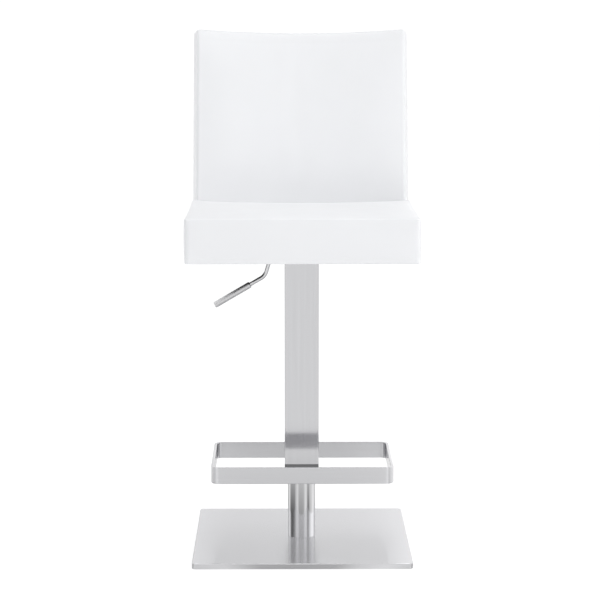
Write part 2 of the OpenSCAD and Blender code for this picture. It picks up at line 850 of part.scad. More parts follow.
// Triangles between two neighbouring rings of n points that start at first and second
function band(first, second, n) = [
    for (i = [0:n - 1]) let (j = (i + 1) % n)
        each [[first + i, second + i, second + j], [first + i, second + j, first + j]]
];

// How far the backrest's curved face comes forward at x
function face_b(x) = sqrt(back_r * back_r - x * x) - back_r;

// The world's y and z for a setback b and a rise v in the backrest's raked frame
function raked_point(b, v) = [
    back_y + b * cos(back_rake) + v * sin(back_rake), seat_top - b * sin(back_rake) + v * cos(back_rake)
];

// The rise at which a line of setback b meets height z
function rake_v(b, z) = (z - seat_top + b * sin(back_rake)) / cos(back_rake);

// Where the backrest's face is at x and height z
function face_y(x, z) = raked_point(face_b(x), rake_v(face_b(x), z)).x;

seat_side_steps = 9;
seat_corner_steps = 3;
seat_points = 4 * (seat_side_steps + seat_corner_steps);

// Rounded rectangle of half sizes a and b, walked round from the first corner
function outline(a, b, r) = [
    for (c = [0:3])
        let (sx = [1, -1, -1, 1], sy = [1, 1, -1, -1],
             mid = [sx[c] * (a - r), sy[c] * (b - r)],
             next = (c + 1) % 4,
             next_mid = [sx[next] * (a - r), sy[next] * (b - r)],
             out = r * [cos(90 * c + 90), sin(90 * c + 90)])
        each concat(
            [for (j = [0:seat_corner_steps])
                let (t = 90 * (c + j / seat_corner_steps)) mid + r * [cos(t), sin(t)]],
            [for (j = [1:seat_side_steps - 1])
                between(mid + out, next_mid + out, j / seat_side_steps)])
];

// A point of the seat's skin: sides drawn in, rear fitted to the backrest, top dipped and crowned
function seat_skin(p, a, b, z, crown) =
    let (x = p.x * (1 - seat_pull / a * (1 - pow(p.y / b, 2))),
         s = min(1, (p.y * (1 - seat_pull / b * (1 - pow(p.x / a, 2))) / b + 1) / 2),
         rise = (z - seat_z0) / seat_h,
         dip = seat_dip * s * s * (1 - pow(x / a, 2)) * rise,
         level = z - dip + crown)
    [x, between(-seat_front, face_y(x, level) - soft_gap, s), level];

// A ring of the seat, drawn in by inset at height z
function seat_ring(inset, z, crown) =
    let (a = seat_w / 2, b = (seat_front + back_y) / 2, r = max(3, seat_corner_r - inset))
    [for (p = outline(a - inset, b - inset, r)) seat_skin(p, a, b, z, crown)];

// A ring close around the seat board's edge at height z
function recess_ring(z) =
    let (depth = board_front + board_rear)
    [for (p = outline(board_half + soft_gap, depth / 2 + soft_gap, board_r + soft_gap))
        [p.x, p.y + board_rear - depth / 2, z]];

// Foam and cover around the board, crowned on top
module seat_cushion() {
    e = seat_edge_r;
    round_steps = [30, 60, 90];
    recess_top = board_z + board_t;
    side_steps = 4;
    b = (seat_front + back_y) / 2;
    inner = b * [0.08, 0.2, 0.36, 0.54, 0.74];
    rings = concat(
        [recess_ring(recess_top), recess_ring(seat_z0), seat_ring(e, seat_z0, 0)],
        [for (t = round_steps) seat_ring(e - e * sin(t), seat_z0 + e - e * cos(t), 0)],
        [for (i = [1:side_steps - 1]) let (t = i / side_steps)
            seat_ring(-seat_swell * sin(180 * t), between(seat_z0 + e, seat_top - e, t), 0)],
        [for (t = [0, 30, 60, 90]) seat_ring(e - e * cos(t), seat_top - e + e * sin(t), 0)],
        [for (d = inner) seat_ring(e + d, seat_top, seat_crown * sin(90 * d / b))]
    );
    points = concat([for (r = rings) each r], [
        [0, (board_rear - board_front) / 2, recess_top],
        seat_skin([0, 0], seat_w / 2, b, seat_top, seat_crown)
    ]);
    n = seat_points;
    last = (len(rings) - 1) * n;
    faces = concat(
        [for (i = [0:n - 1]) [len(rings) * n, i, (i + 1) % n]],
        [for (k = [0:len(rings) - 2]) each band(k * n, (k + 1) * n, n)],
        [for (i = [0:n - 1]) [len(rings) * n + 1, last + (i + 1) % n, last + i]]
    );
    color(leatherette) polyhedron(points, faces, convexity = 4);
}

// Backrest

// Turns its children into the backrest's raked frame: +Y to the rear, +Z up along the rake
module raked() {
    translate([0, back_y, seat_top]) rotate([-back_rake, 0, 0]) children();
}

// A bent slab of the backrest between two depths behind its face
module bent_slab(depth0, depth1, arc_w, v0, v1) {
    half_a = arc_w / 2 / (back_r + (depth0 + depth1) / 2) * 180 / PI;
    translate([0, -back_r, 0]) rotate([0, 0, 90 - half_a]) rotate_extrude(angle = 2 * half_a, $fn = 720)
        translate([back_r + depth0, v0]) square([depth1 - depth0, v1 - v0]);
}

// Bent plywood with a level lower edge and a pocket for each bracket
module back_board() {
    low = -1.2 * seat_h;
    color(birch) difference() {
        raked() bent_slab(ply_depth, ply_depth + ply_t, ply_w, low, ply_top);
        translate([-back_w, 0, ply_z0 - 2 * seat_h]) cube([2 * back_w, 2 * back_y, 2 * seat_h]);
        raked() at_sides(bracket_x) translate([-bracket_w / 2 - leg_side_gap, -back_sag, low])
            cube([bracket_w + 2 * leg_side_gap, back_sag + leg_y + bracket_t, leg_top + bracket_t - low]);
        at_back_screws() cylinder(d = wood_screw_d, h = bracket_t + back_screw_bite + gap);
    }
}

// Two bent steel straps from under the seat up into the backrest
module back_brackets() {
    level_z = seat_z0 - bracket_t;
    rear = leg_y + bracket_t;
    profile = [
        [bracket_front, level_z], [bracket_front, seat_z0],
        raked_point(leg_y, rake_v(leg_y, seat_z0)), raked_point(leg_y, leg_top),
        raked_point(rear, leg_top), raked_point(rear, rake_v(rear, level_z))
    ];
    color(black_steel) difference() {
        at_sides(bracket_x) translate([-bracket_w / 2, 0, 0])
            rotate([90, 0, 90]) linear_extrude(bracket_w) polygon(profile);
        at_bracket_screws() translate([0, 0, level_z])
            countersunk(wood_head_d, wood_screw_d, wood_head_h, bracket_t + over, over);
        at_back_screws() countersunk(wood_head_d, wood_screw_d, wood_head_h, bracket_t + over, over);
    }
}

// Places of the screws that hold the brackets to the seat board
module at_bracket_screws() {
    for (y = [bracket_front + bracket_screw_front, board_rear - bracket_screw_rear])
        at_sides(bracket_x) translate([0, y, 0]) children();
}

// Places of the screws that hold the brackets to the plywood, from the bracket's face inwards
module at_back_screws() {
    for (v = [back_screw_low, leg_top - back_screw_edge]) raked() at_sides(bracket_x) translate([0, leg_y, v])
        rotate([-90, 0, 0]) children();
}

module bracket_screws() {
    color(zinc) at_bracket_screws() translate([0, 0, seat_z0 - bracket_t])
        countersunk(wood_head_d - 2 * thread_gap, wood_screw_d - 2 * thread_gap,
            wood_head_h, bracket_t + dust_t + board_t - screw_cover - over, 0);
}

module back_screws() {
    color(zinc) at_back_screws()
        countersunk(wood_head_d - 2 * thread_gap, wood_screw_d - 2 * thread_gap,
            wood_head_h, bracket_t + back_screw_bite, 0);
}

back_side_steps = 12;
back_corner_steps = 3;

// One half of a strip-shaped ring, from its left end to its right end along the front
function strip_half(a, w0, w1, r) = concat(
    [for (j = [0:back_corner_steps]) let (t = 180 + 90 * j / back_corner_steps)
        [-a + r + r * cos(t), w0 + r + r * sin(t)]],
    [for (j = [1:back_side_steps - 1]) [between(-a + r, a - r, j / back_side_steps), w0]],
    [for (j = [0:back_corner_steps]) let (t = 270 + 90 * j / back_corner_steps)
        [a - r + r * cos(t), w0 + r + r * sin(t)]]
);

// The whole ring: the front half, then its mirror image back along the rear
function strip(a, w0, w1, r) =
    let (front = strip_half(a, w0, w1, r), n = len(front))
    concat(front, [for (i = [n - 1:-1:0]) [front[i].x, w0 + w1 - front[i].y]]);

// A point of the backrest: arc length u, depth w, and share s of the way from its level foot to its top
function back_skin(u, w, s, lift, crowned) =
    let (top = back_rise - back_dip * (1 - pow(u / back_half, 2)),
         t = limit01(between(-seat_h, top, s) / top),
         f = w / back_t,
         g = crowned * (1 - pow(u / back_half, 4)) * sin(180 * t),
         depth = w - back_crown * (1 - f) * g + back_crown_rear * f * g,
         a = (u - back_taper * t * u / back_half) / back_r * 180 / PI,
         b = (back_r + depth) * cos(a) - back_r,
         v = between(rake_v(b, seat_z0), top, s) + lift)
    [(back_r + depth) * sin(a), raked_point(b, v).x, raked_point(b, v).y];

// A ring of the backrest's skin, drawn in by inset
function back_ring(inset_u, inset_w, s, lift) =
    [for (p = strip(back_half - inset_u, inset_w, back_t - inset_w, max(1.5, back_edge_r - inset_w)))
        back_skin(p.x, p.y, s, lift, 1)];

// A ring of the slot that holds the plywood
function slot_ring(s, lift) =
    [for (p = strip(ply_w / 2 + over, ply_depth - ply_gap, ply_depth + ply_t + ply_gap, slot_r))
        back_skin(p.x, p.y, s, lift, 0)];

// Foam and cover pulled over the plywood from above, crowned front and rear
module back_cushion() {
    e = seat_edge_r;
    c = back_corner_r;
    k = back_edge_r;
    slot_lift = ply_gap - ply_top_gap + back_dip;
    rings = concat(
        [slot_ring(1, slot_lift), slot_ring(0, 0), back_ring(e, e, 0, 0)],
        [for (t = [45, 90]) back_ring(e - e * sin(t), e - e * sin(t), 0, e - e * cos(t))],
        [for (s = [0.12, 0.197, 0.3, 0.4, 0.5, 0.6, 0.7, 0.8, 0.88]) back_ring(0, 0, s, 0)],
        [for (t = [0, 30, 60, 90]) back_ring(c - c * cos(t), k - k * cos(t), 1, c * sin(t) - c)]
    );
    n = len(rings[0]);
    half = n / 2;
    last = (len(rings) - 1) * n;
    faces = concat(
        [for (i = [0:half - 2]) each [[i, i + 1, n - 2 - i], [i, n - 2 - i, n - 1 - i]]],
        [for (q = [0:len(rings) - 2]) each band(q * n, (q + 1) * n, n)],
        [for (i = [0:half - 2]) each [
            [last + i, last + n - 2 - i, last + i + 1], [last + i, last + n - 1 - i, last + n - 2 - i]]]
    );
    color(leatherette) polyhedron([for (r = rings) each r], faces, convexity = 6);
}

floor_pad();
base_weight();
base_cover();
column_tube();
column_foot();
foot_bolts();
tube_liner();
bearing_lower_washer();
bearing_cage();
bearing_balls();
bearing_upper_washer();
stop_bumper();
piston_rod();
rod_clip();
piston();
piston_ring();
pressure_tube();
tube_gland();
valve_block();
release_pin();
taper_hub();
mechanism_pan();
column_head();
head_screws();
square_column();
column_collar();
footrest();
footrest_screws();
footrest_nuts();
lever_rod();
lever_grip();
lever_sleeve();
lever_pivot_pin();
pivot_clip();
seat_board();
dust_cloth();
pan_bolts();
tee_nuts();
seat_cushion();
back_board();
back_brackets();
bracket_screws();
back_screws();
back_cushion();
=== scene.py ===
import json
import math

import bmesh
import bpy
import numpy as np
from bpy.props import FloatProperty, FloatVectorProperty, IntProperty, PointerProperty
from bpy.types import Operator, Panel, PropertyGroup
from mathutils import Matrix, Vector


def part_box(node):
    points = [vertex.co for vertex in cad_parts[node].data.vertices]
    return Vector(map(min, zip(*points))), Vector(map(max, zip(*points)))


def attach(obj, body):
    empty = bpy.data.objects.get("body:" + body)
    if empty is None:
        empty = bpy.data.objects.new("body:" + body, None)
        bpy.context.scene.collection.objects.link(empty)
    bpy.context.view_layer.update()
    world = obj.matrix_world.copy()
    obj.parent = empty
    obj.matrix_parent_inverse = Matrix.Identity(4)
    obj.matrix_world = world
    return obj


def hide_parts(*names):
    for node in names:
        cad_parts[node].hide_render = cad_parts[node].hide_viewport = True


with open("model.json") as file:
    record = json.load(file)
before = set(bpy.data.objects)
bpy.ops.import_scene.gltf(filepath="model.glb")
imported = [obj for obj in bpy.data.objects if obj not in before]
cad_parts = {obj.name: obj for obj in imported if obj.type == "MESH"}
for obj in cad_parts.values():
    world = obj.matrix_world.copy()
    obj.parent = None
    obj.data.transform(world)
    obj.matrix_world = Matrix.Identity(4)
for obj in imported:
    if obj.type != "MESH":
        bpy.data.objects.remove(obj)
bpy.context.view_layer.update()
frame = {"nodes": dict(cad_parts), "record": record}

bl_info = {
    "name": "Swivel Bar Stool",
    "version": (1, 0, 0),
    "blender": (4, 5, 0),
    "location": "3D View > Sidebar > Stool",
    "description": "Dresses the packed swivel bar stool with its steel, plastic and leatherette",
    "category": "Add Mesh",
}

MM = 0.001
FINISH_MARK = "_finish"

# The camera, in metres and degrees, as the photograph was taken
CAMERA_PLACE = (-0.031, -3.693, 1.0075)
CAMERA_PITCH = 8.58
CAMERA_YAW = 0.436
CAMERA_LENS = 123.0

# Bright panels and dark flags low around the stool, for its polished steel to mirror: azimuth from
# the front towards the right, in degrees, and brightness
PANELS = (
    (-180, 1.0), (-168, 0.85), (-150, 0.5), (-136, 0.85), (-121, 1.9), (-106, 0.5), (-94, 0.13),
    (-60, 0.2), (-46, 1.1), (-34, 1.5), (-20, 0.7), (-4, 0.65), (16, 0.75), (24, 1.3),
    (36, 1.7), (45, 1.1), (52, 0.13), (58, 0.22), (72, 1.05), (88, 1.4), (108, 1.9), (128, 1.6),
    (150, 0.5), (168, 1.4), (180, 1.0),
)
PANEL_PEAK = 2.0

# The world: its light and tint to diffuse rays, its white, and the heights between which the panels
# fade out
WORLD_LIGHT = 0.7
WORLD_TINT = (0.98, 0.99, 1.0, 1.0)
WORLD_WHITE = 1.05
PANEL_FADE = (0.3, 0.5)

# The floor: its side, the grey of its paint to diffuse rays and to the camera, its own white, the
# panels' share in its mirror image and the distances between which they fade out
FLOOR_SIDE = 30.0
FLOOR_PAINT = 0.9
FLOOR_SHADE = 0.3
FLOOR_WHITE = 0.82
FLOOR_PANELS = 0.62
FLOOR_FADE = (0.2, 0.85)

# Softboxes: name, place, what they point at, side, power and whether the steel mirrors them
SOFTBOXES = (
    ("key_light", (6.2, -4.2, 3.2), (0.0, 0.0, 0.5), 3.4, 200.0, False),
    ("low_light", (-0.3, -2.4, 0.3), (0.0, 0.0, 0.6), 0.4, 4.0, False),
    ("side_light", (-6.0, 1.3, 1.0), (0.0, 0.0, 0.6), 2.4, 70.0, False),
    ("top_light", (0.3, 0.2, 3.4), (0.0, 0.0, 0.4), 2.0, 19.5, True),
)

# How finely the steel is cut: steps of an arc, and points around a circle and for each groove
EDGE_ARC, COVER_ARC, BEND_ARC = 4, 5, 16
FRAME_ARC, BASE_ARC, COLLAR_ARC = 8, 10, 16
TUBE_POINTS, ROD_POINTS, GROOVE_POINTS = 240, 48, 6

# Guard points beside an arc keep the flats flat when shaded: their distance in a profile, and their
# shares of a side in a rounded rectangle
GUARD = 0.4 * MM
SIDE_GUARDS = (0.02, 0.98)

# Radii of the base cover's lip and inside, as shares of its sheet, and the collar's radii from its rim
# up, with its clearance
COVER_ROUNDS = (0.4, 0.4, 0.5)
COLLAR_ROUNDS = (0.8 * MM, 0.2 * MM, 0.2 * MM, 0.5 * MM)
FIT = 0.05 * MM

# The lever: chamfers of its tip and its grip, how far its bar ends inside the grip, the grip's plain
# length at each end and the steepness of the knurl's grooves
TIP_CHAMFER = 0.8 * MM
GRIP_CHAMFER = 1 * MM
BAR_SHORT = 2 * MM
KNURL_MARGIN = 3 * MM
KNURL_SLOPE = 2.4

# Rows and columns of the two covers' grids: the rows of the recess or slot, then those of each
# stretch of the skin and the columns of each corner and side. The backrest's side rows lie between
# two shares of its height, and its seams are some steps into its corners
BOARD_ROWS = 3
SEAT_ARC, SEAT_SIDE, SEAT_IN, SEAT_ALONG = 20, 42, 35, 120
BACK_FOOT, BACK_SIDE, BACK_TOP, BACK_IN = 9, 96, 28, 8
BACK_ARC, BACK_ALONG, BACK_ACROSS = 16, 130, 18
BACK_SHARES = (0.02, 0.958)
BACK_SEAM = 5

# Plan corners of the upholstery: the board's and its lining's, the least that a drawn-in ring keeps
# and the slot's
BOARD_CORNER = 10 * MM
LEAST_SEAT_CORNER = 3 * MM
LEAST_CORNER = 2 * MM
SLOT_CORNER = 0.5 * MM

# Seams: how many half widths away the lips lie and the puckers reach, how far the puckers stray and
# over how many of them, the strengths, and the run of a seam around a whole row
LIP_PLACE, PUCKER_REACH = 2.2, 6
PUCKER_STRAY, STRAY_LENGTH = 1.5, 5.3
LOW_SEAM, FOLD, TOP_SEAM, SEAT_CORNERS = 0.12, 0.1, 0.2, 0.5
BACK_TOP_SEAM, BACK_SIDE_SEAM = 1.0, 0.5
ALL_ROUND = (-math.inf, math.inf)

# The swelling of the covers: how many rows and columns of a cover one of its coarse copy stands for,
# the passes that soften the movement, and how near two points count as one
CLOTH_QUALITY, CLOTH_STRETCH, CLOTH_SHEAR = 6, 25, 10
COARSE_ROWS, COARSE_COLUMNS = 4, 5
SOFT_PASSES = 14
ONE_POINT = 0.01 * MM

# The lining: rows of each face and columns of a side and a corner, the height of its lower face in
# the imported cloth, its thickness, and the depth, reach and lengths of its waves
LINING_ROWS, LINING_ALONG, LINING_ARC = 40, 58, 5
LINING_LOW = 0.3 * MM
LINING_THICK = 0.35 * MM
LINING_DEPTH = 0.06 * MM
LINING_REACH = 25 * MM
LINING_WAVES = (9 * MM, 31 * MM, 11 * MM, 23 * MM)


def length(name, description, millimetres):
    """A length of the stool, given in millimetres and kept in metres."""
    return FloatProperty(name=name, description=description, default=millimetres * MM, min=0.0,
                         unit="LENGTH")


def angle(name, description, degrees):
    """An angle of the stool, given in degrees."""
    return FloatProperty(name=name, description=description, default=math.radians(degrees),
                         subtype="ANGLE")


def tint(name, description, *colour):
    """A colour of one of the stool's finishes."""
    return FloatVectorProperty(name=name, description=description, default=colour, min=0.0, max=1.0,
                               size=3, subtype="COLOR")


class StoolSteelSizes(PropertyGroup):
    """Sizes of the base, the columns and the footrest that their boxes don't give."""

    base_corner: length("Base Corner", "Plan radius of the base's corners", 7)
    base_edge: length("Base Edge", "Radius of the pressed cover's upper edge", 1.5)
    cover_sheet: length("Cover Sheet", "Thickness of the base's stainless cover", 1.2)
    tube_wall: length("Tube Wall", "Wall of the round tube", 2)
    column_corner: length("Column Corner", "Outer corner radius of the square column", 2.5)
    column_wall: length("Column Wall", "Wall of the square column", 2)
    spigot: length("Collar Spigot", "Visible part of the collar's spigot above its rim", 6)
    bar_thickness: length("Bar Thickness", "Thickness of the footrest's flat bar", 5)
    bar_corner: length("Bar Corner", "Outer corner radius of the footrest", 15)
    bar_edge: length("Bar Edge", "Radius of the flat bar's long edges", 0.9)
    cut_edge: length("Cut Edge", "Radius left on a cut steel edge", 0.3)


class StoolLeverSizes(PropertyGroup):
    """Sizes of the release lever, in its own upright plane."""

    rod: length("Rod", "Diameter of the lever's rod", 7.5)
    tip: length("Tip", "Reach of the lever past the column's axis", 10)
    elbow: length("Elbow", "Distance of the first corner from the column's axis", 55.3)
    level: length("Level", "Height of the lever's level part", 532.75)
    drop: length("Drop", "Length between the two corners", 39.4)
    reach: length("Reach", "Length from the second corner to the end", 106.3)
    drop_angle: angle("Drop Angle", "Angle of the drop below level", 73.5)
    grip_angle: angle("Grip Angle", "Angle of the grip below level", 30.5)
    bend: length("Bend", "Bend radius of the first corner", 12)
    knee_bend: length("Knee Bend", "Bend radius of the second corner", 22)
    grip: length("Grip", "Diameter of the knurled grip", 11.5)
    grip_length: length("Grip Length", "Length of the knurled grip", 75)
    knurl_pitch: length("Knurl Pitch", "Spacing of the knurl's grooves around the grip", 1.6)
    knurl_depth: length("Knurl Depth", "Depth of the knurl's grooves", 0.14)


class StoolSeatSizes(PropertyGroup):
    """Sizes of the seat's upholstery."""

    width: length("Width", "Width of the seat", 408)
    front: length("Front", "Distance of the seat's front from the column's axis", 193)
    under: length("Underside", "Height of the seat's underside", 541.5)
    top: length("Top", "Height of the seat's top without its crown", 619.5)
    edge: length("Edge", "Radius of the seat's long edges", 1.6)
    corner: length("Corner", "Plan radius of the seat's corners", 8)
    pull: length("Pull", "How far the sides are drawn in between the corners", 1)
    swell: length("Swell", "How far the sides swell at half height", 0.5)
    crown: length("Crown", "Crown of the top", 2)
    dip: length("Dip", "How far the top dips at the rear middle", 10)
    rim: length("Rim", "Width of the upholstery's rim around the seat board", 13)
    board_rear: length("Board Rear", "Distance of the board's rear edge from the column's axis", 100)
    recess: length("Recess", "Depth of the recess that takes the board", 14.8)
    gap: length("Gap", "Clearance to the board and to the backrest", 0.5)
    low_seam: length("Lower Seam", "Height of the lower seam above the underside", 6.4)
    hold: length("Hold", "Depth of the rear strip that the backrest keeps from swelling", 40)


class StoolBackSizes(PropertyGroup):
    """Sizes of the backrest's upholstery."""

    width: length("Width", "Width of the face along its curve", 395)
    rise: length("Rise", "Height above the seat along the rake", 318.5)
    thick: length("Thickness", "Thickness at the edges", 46)
    sag: length("Sag", "Depth of the curve across the width", 17)
    rake: angle("Rake", "Angle of the backrest behind upright", 10)
    place: length("Place", "Distance of the face from the column's axis at the seat", 159)
    corner: length("Corner", "Width of the rounded top corners", 4.5)
    edge: length("Edge", "Radius of the long edges", 2.8)
    taper: length("Taper", "How much the top narrows at each side", 1.5)
    dip: length("Dip", "How far the top edge dips in the middle", 5)
    crown: length("Crown", "Crown of the front", 6)
    crown_rear: length("Rear Crown", "Crown of the rear", 3)
    slot_width: length("Slot Width", "Arc width of the slot for the plywood", 351)
    slot_depth: length("Slot Depth", "Depth of the slot behind the face", 21.7)
    slot_gap: length("Slot Gap", "Width of the slot for the plywood", 12.6)
    slot_end: length("Slot End", "Distance from the slot's end to the backrest's top", 18.7)
    hold: length("Hold", "Height above the seat's top that the seat keeps from swelling", 12)


class StoolSeamSizes(PropertyGroup):
    """Sizes of the sewn seams."""

    depth: length("Depth", "Depth of a seam's valley", 1.3)
    half: length("Half Width", "Half width of a seam's valley", 1.1)
    lip: length("Lip", "Height of the folded edge beside the valley", 0.35)
    pucker: length("Pucker", "Depth of the puckers along a seam", 0.16)
    ripple: length("Ripple", "Distance between two puckers", 11)


class StoolClothSizes(PropertyGroup):
    """The swelling of the two covers."""

    pressure: FloatProperty(name="Pressure", description="Pressure inside a cover", default=4.0)
    cap: length("Cap", "How far a point of a cover may move", 5)
    frames: IntProperty(name="Frames", description="Frames that a cover swells for", default=20)


class StoolFinishes(PropertyGroup):
    """Colours of the finishes."""

    leatherette: tint("Leatherette", "White leatherette", 0.85, 0.853, 0.866)
    brushed: tint("Brushed Steel", "Brushed stainless steel", 0.625, 0.625, 0.64)
    polished: tint("Polished Steel", "Polished stainless steel", 0.69, 0.69, 0.7)
    zinc: tint("Zinc", "Zinc-plated steel", 0.62, 0.63, 0.64)
    bearing: tint("Bearing Steel", "Ground bearing steel", 0.76, 0.76, 0.77)
    black_steel: tint("Black Steel", "Black powder coat", 0.03, 0.03, 0.032)
    dark_plastic: tint("Dark Plastic", "Dark grey moulded plastic", 0.15, 0.15, 0.153)
    grey_plastic: tint("Grey Plastic", "Grey moulded plastic", 0.3, 0.31, 0.32)
    rubber: tint("Rubber", "Black rubber", 0.025, 0.025, 0.025)
    felt: tint("Non-slip Sheet", "Black felted rubber", 0.04, 0.04, 0.04)
    plywood: tint("Plywood", "Birch plywood", 0.62, 0.47, 0.3)
    cloth: tint("Lining Cloth", "Thin black cloth", 0.02, 0.02, 0.02)


# Grids and meshes


def measured(node):
    """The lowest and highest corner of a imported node, as two numpy rows in metres."""
    low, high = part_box(node)
    return np.array(low), np.array(high)


def ring_quads(rows, columns, closed=False):
    """Quads of a grid whose rows are closed rings; closed also joins the last row to the first."""
    row = np.arange(rows if closed else rows - 1)[:, None] * columns
    above = (row + columns) % (rows * columns)
    here = np.arange(columns)[None, :]
    there = (here + 1) % columns
    return np.stack([row + here, row + there, above + there, above + here], -1).reshape(-1, 4)


def fan(ring, columns, centre):
    """Triangles from one ring of a grid to a single point."""
    here = np.arange(columns)
    return np.stack([ring * columns + here, ring * columns + (here + 1) % columns,
                     np.full(columns, centre)], -1)


def volume(points, faces):
    """Volume inside a closed surface: a sixth of the sum of its triangles' triple products."""
    total = 0.0
    for block in faces:
        for k in range(1, block.shape[1] - 1):
            across = np.cross(points[block[:, k]], points[block[:, k + 1]])
            total += np.einsum("ij,ij->", points[block[:, 0]], across)
    return total / 6


def weld(mesh, reach=0.001 * MM):
    """Merges the points that lie together, where a ring has closed on a line."""
    work = bmesh.new()
    work.from_mesh(mesh)
    bmesh.ops.remove_doubles(work, verts=work.verts, dist=reach)
    work.to_mesh(mesh)
    work.free()


def new_piece(name, grid, body, look, slot, *nodes, closed=True, ends=None):
    """A smooth-shaded mesh of a grid of closed rings, wound outwards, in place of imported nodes. Its
    last ring joins the first if closed, or a fan of triangles runs from each outer ring to its end."""
    rows, columns = grid.shape[:2]
    points = grid.reshape(-1, 3)
    faces = [ring_quads(rows, columns, closed and ends is None)]
    if ends is not None:
        faces += [fan(0, columns, len(points))[:, ::-1], fan(rows - 1, columns, len(points) + 1)]
        points = np.vstack([points, ends])
    step = 1 if volume(points, faces) > 0 else -1
    mesh = bpy.data.meshes.new(name)
    mesh.from_pydata(points.tolist(), [], [f for block in faces for f in block[:, ::step].tolist()])
    weld(mesh)
    mesh.polygons.foreach_set("use_smooth", np.ones(len(mesh.polygons), bool))
    mesh.update()
    mesh.materials.append(finish(look))
    piece = bpy.data.objects.new(name, mesh)
    bpy.context.scene.collection.objects.link(piece)
    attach(piece, body)
    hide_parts(*nodes)
    return piece


def rounded_path(points, radii, steps=EDGE_ARC, closed=False):
    """A line whose corners are arcs. At each corner the arc touches both sides, its middle on the
    line that halves the corner, and there is a guard point on each side."""
    points = np.asarray(points, float)
    corners = points if closed else points[1:-1]
    radii = np.broadcast_to(np.asarray(radii, float), len(corners))[:, None]
    before = (np.roll(points, 1, 0) if closed else points[:-2]) - corners
    after = (np.roll(points, -1, 0) if closed else points[2:]) - corners
    before /= np.linalg.norm(before, axis=1, keepdims=True)
    after /= np.linalg.norm(after, axis=1, keepdims=True)
    half = np.arccos(np.clip((before * after).sum(1, keepdims=True), -1, 1)) / 2
    inward = (before + after) / np.linalg.norm(before + after, axis=1, keepdims=True)
    cut = radii / np.tan(half)
    middle = corners + inward * radii / np.sin(half)
    start = corners + before * cut - middle
    end = corners + after * cut - middle
    first = np.arctan2(start[:, 1], start[:, 0])[:, None]
    turn = np.arctan2(end[:, 1], end[:, 0])[:, None] - first
    turn = (turn + np.pi) % (2 * np.pi) - np.pi
    angle = first + turn * np.linspace(0, 1, steps + 1)
    arc = middle[:, None] + radii[:, :, None] * np.stack([np.cos(angle), np.sin(angle)], -1)
    guards = [(corners + side * (cut + GUARD))[:, None] for side in (before, after)]
    line = np.concatenate([guards[0], arc, guards[1]], 1).reshape(-1, 2)
    return line if closed else np.concatenate([points[:1], line, points[-1:]])


def rounded_rings(half_w, half_d, radius, steps, along_w=SIDE_GUARDS, along_d=SIDE_GUARDS):
    """Rounded rectangles, one for each row of half sizes and radii. Corner c's arc is its middle
    plus radius times (cos t, sin t) over a quarter turn, and each straight side has the points at
    the given shares of it."""
    half_w, half_d, radius = (np.atleast_1d(v).astype(float) for v in (half_w, half_d, radius))
    half_w, half_d, radius = np.broadcast_arrays(half_w, half_d, radius)
    share = np.linspace(0, 1, steps + 1)
    arcs = []
    for c, (side_x, side_y) in enumerate(((1, 1), (-1, 1), (-1, -1), (1, -1))):
        angle = (c + share) * np.pi / 2
        x = side_x * (half_w - radius)[:, None] + radius[:, None] * np.cos(angle)
        y = side_y * (half_d - radius)[:, None] + radius[:, None] * np.sin(angle)
        arcs.append(np.stack([x, y], -1))
    parts = []
    for c in range(4):
        along = np.asarray(along_d if c % 2 else along_w)[None, :, None]
        parts += [arcs[c], arcs[c][:, -1:] * (1 - along) + arcs[(c + 1) % 4][:, :1] * along]
    return np.concatenate(parts, 1)


def inner_shares(count):
    """So many even shares between 0 and 1, without them."""
    return np.linspace(0, 1, count + 2)[1:-1]


def corner_columns(arc, along, across, into):
    """The columns of rounded rings that lie some steps into each of their four corners."""
    starts = np.cumsum([0, along, across, along]) + (arc + 1) * np.arange(4)
    return (starts + into).tolist()


def raised(rings, heights):
    """Flat rings at their heights."""
    z = np.broadcast_to(np.reshape(heights, (-1, 1)), rings.shape[:2])
    return np.concatenate([rings, z[..., None]], -1)


def carried_frame(profile, half_w, half_d, corner, middle_y=0):
    """A profile of insets and heights carried around a rounded rectangle: the row of inset d is the
    rectangle drawn in by d, its corner radius less by d but never under a tenth of the corner."""
    inset, height = profile.T
    radius = np.maximum(corner - inset, corner / 10)
    rings = rounded_rings(half_w - inset, half_d - inset, radius, FRAME_ARC)
    return raised(rings + [0, middle_y], height)


def bored_frame(profile, half, corner, steps):
    """A profile of insets and heights carried around a rounded square, from a round bore back to it:
    there the corner radius is the half size, in a row just outside it too."""
    guard = [GUARD, 0]
    inset, height = np.vstack([profile[:1], profile[:1] - guard, profile[1:-1], profile[-1:] - guard,
                               profile[-1:]]).T
    radius = np.maximum(corner - inset, 0.1 * corner)
    bore = [0, 1, -2, -1]
    radius[bore] = (half - inset)[bore]
    return raised(rounded_rings(half - inset, half - inset, radius, steps), height)


def turned(profile, steps):
    """A profile of radii and heights turned about the Z axis."""
    angle = np.linspace(0, 2 * np.pi, steps, endpoint=False)
    radius, height = profile[:, :1], profile[:, 1:]
    return np.stack([radius * np.cos(angle), radius * np.sin(angle), height + 0 * angle], -1)


def tube_section(inner, outer, low, high, edge):
    """The cut wall of a tube between two radii and two heights, with a small radius on each edge."""
    return rounded_path([(outer, low), (outer, high), (inner, high), (inner, low)], edge, closed=True)


# Finishes


def put(tree, socket, value):
    """Links a node's output to a socket, or sets the socket to a value."""
    if isinstance(value, bpy.types.NodeSocket):
        tree.links.new(value, socket)
    else:
        socket.default_value = value


def node_maker(tree):
    """A function that adds one node to the tree, with its inputs by name or in order, and gives the
    output asked for."""
    def add(kind, inputs=(), output=0, **settings):
        node = tree.nodes.new("ShaderNode" + kind)
        for key, value in settings.items():
            setattr(node, key, value)
        for key, value in inputs.items() if isinstance(inputs, dict) else enumerate(inputs):
            put(tree, node.inputs[key], value)
        return node.outputs[output] if node.outputs else None
    return add


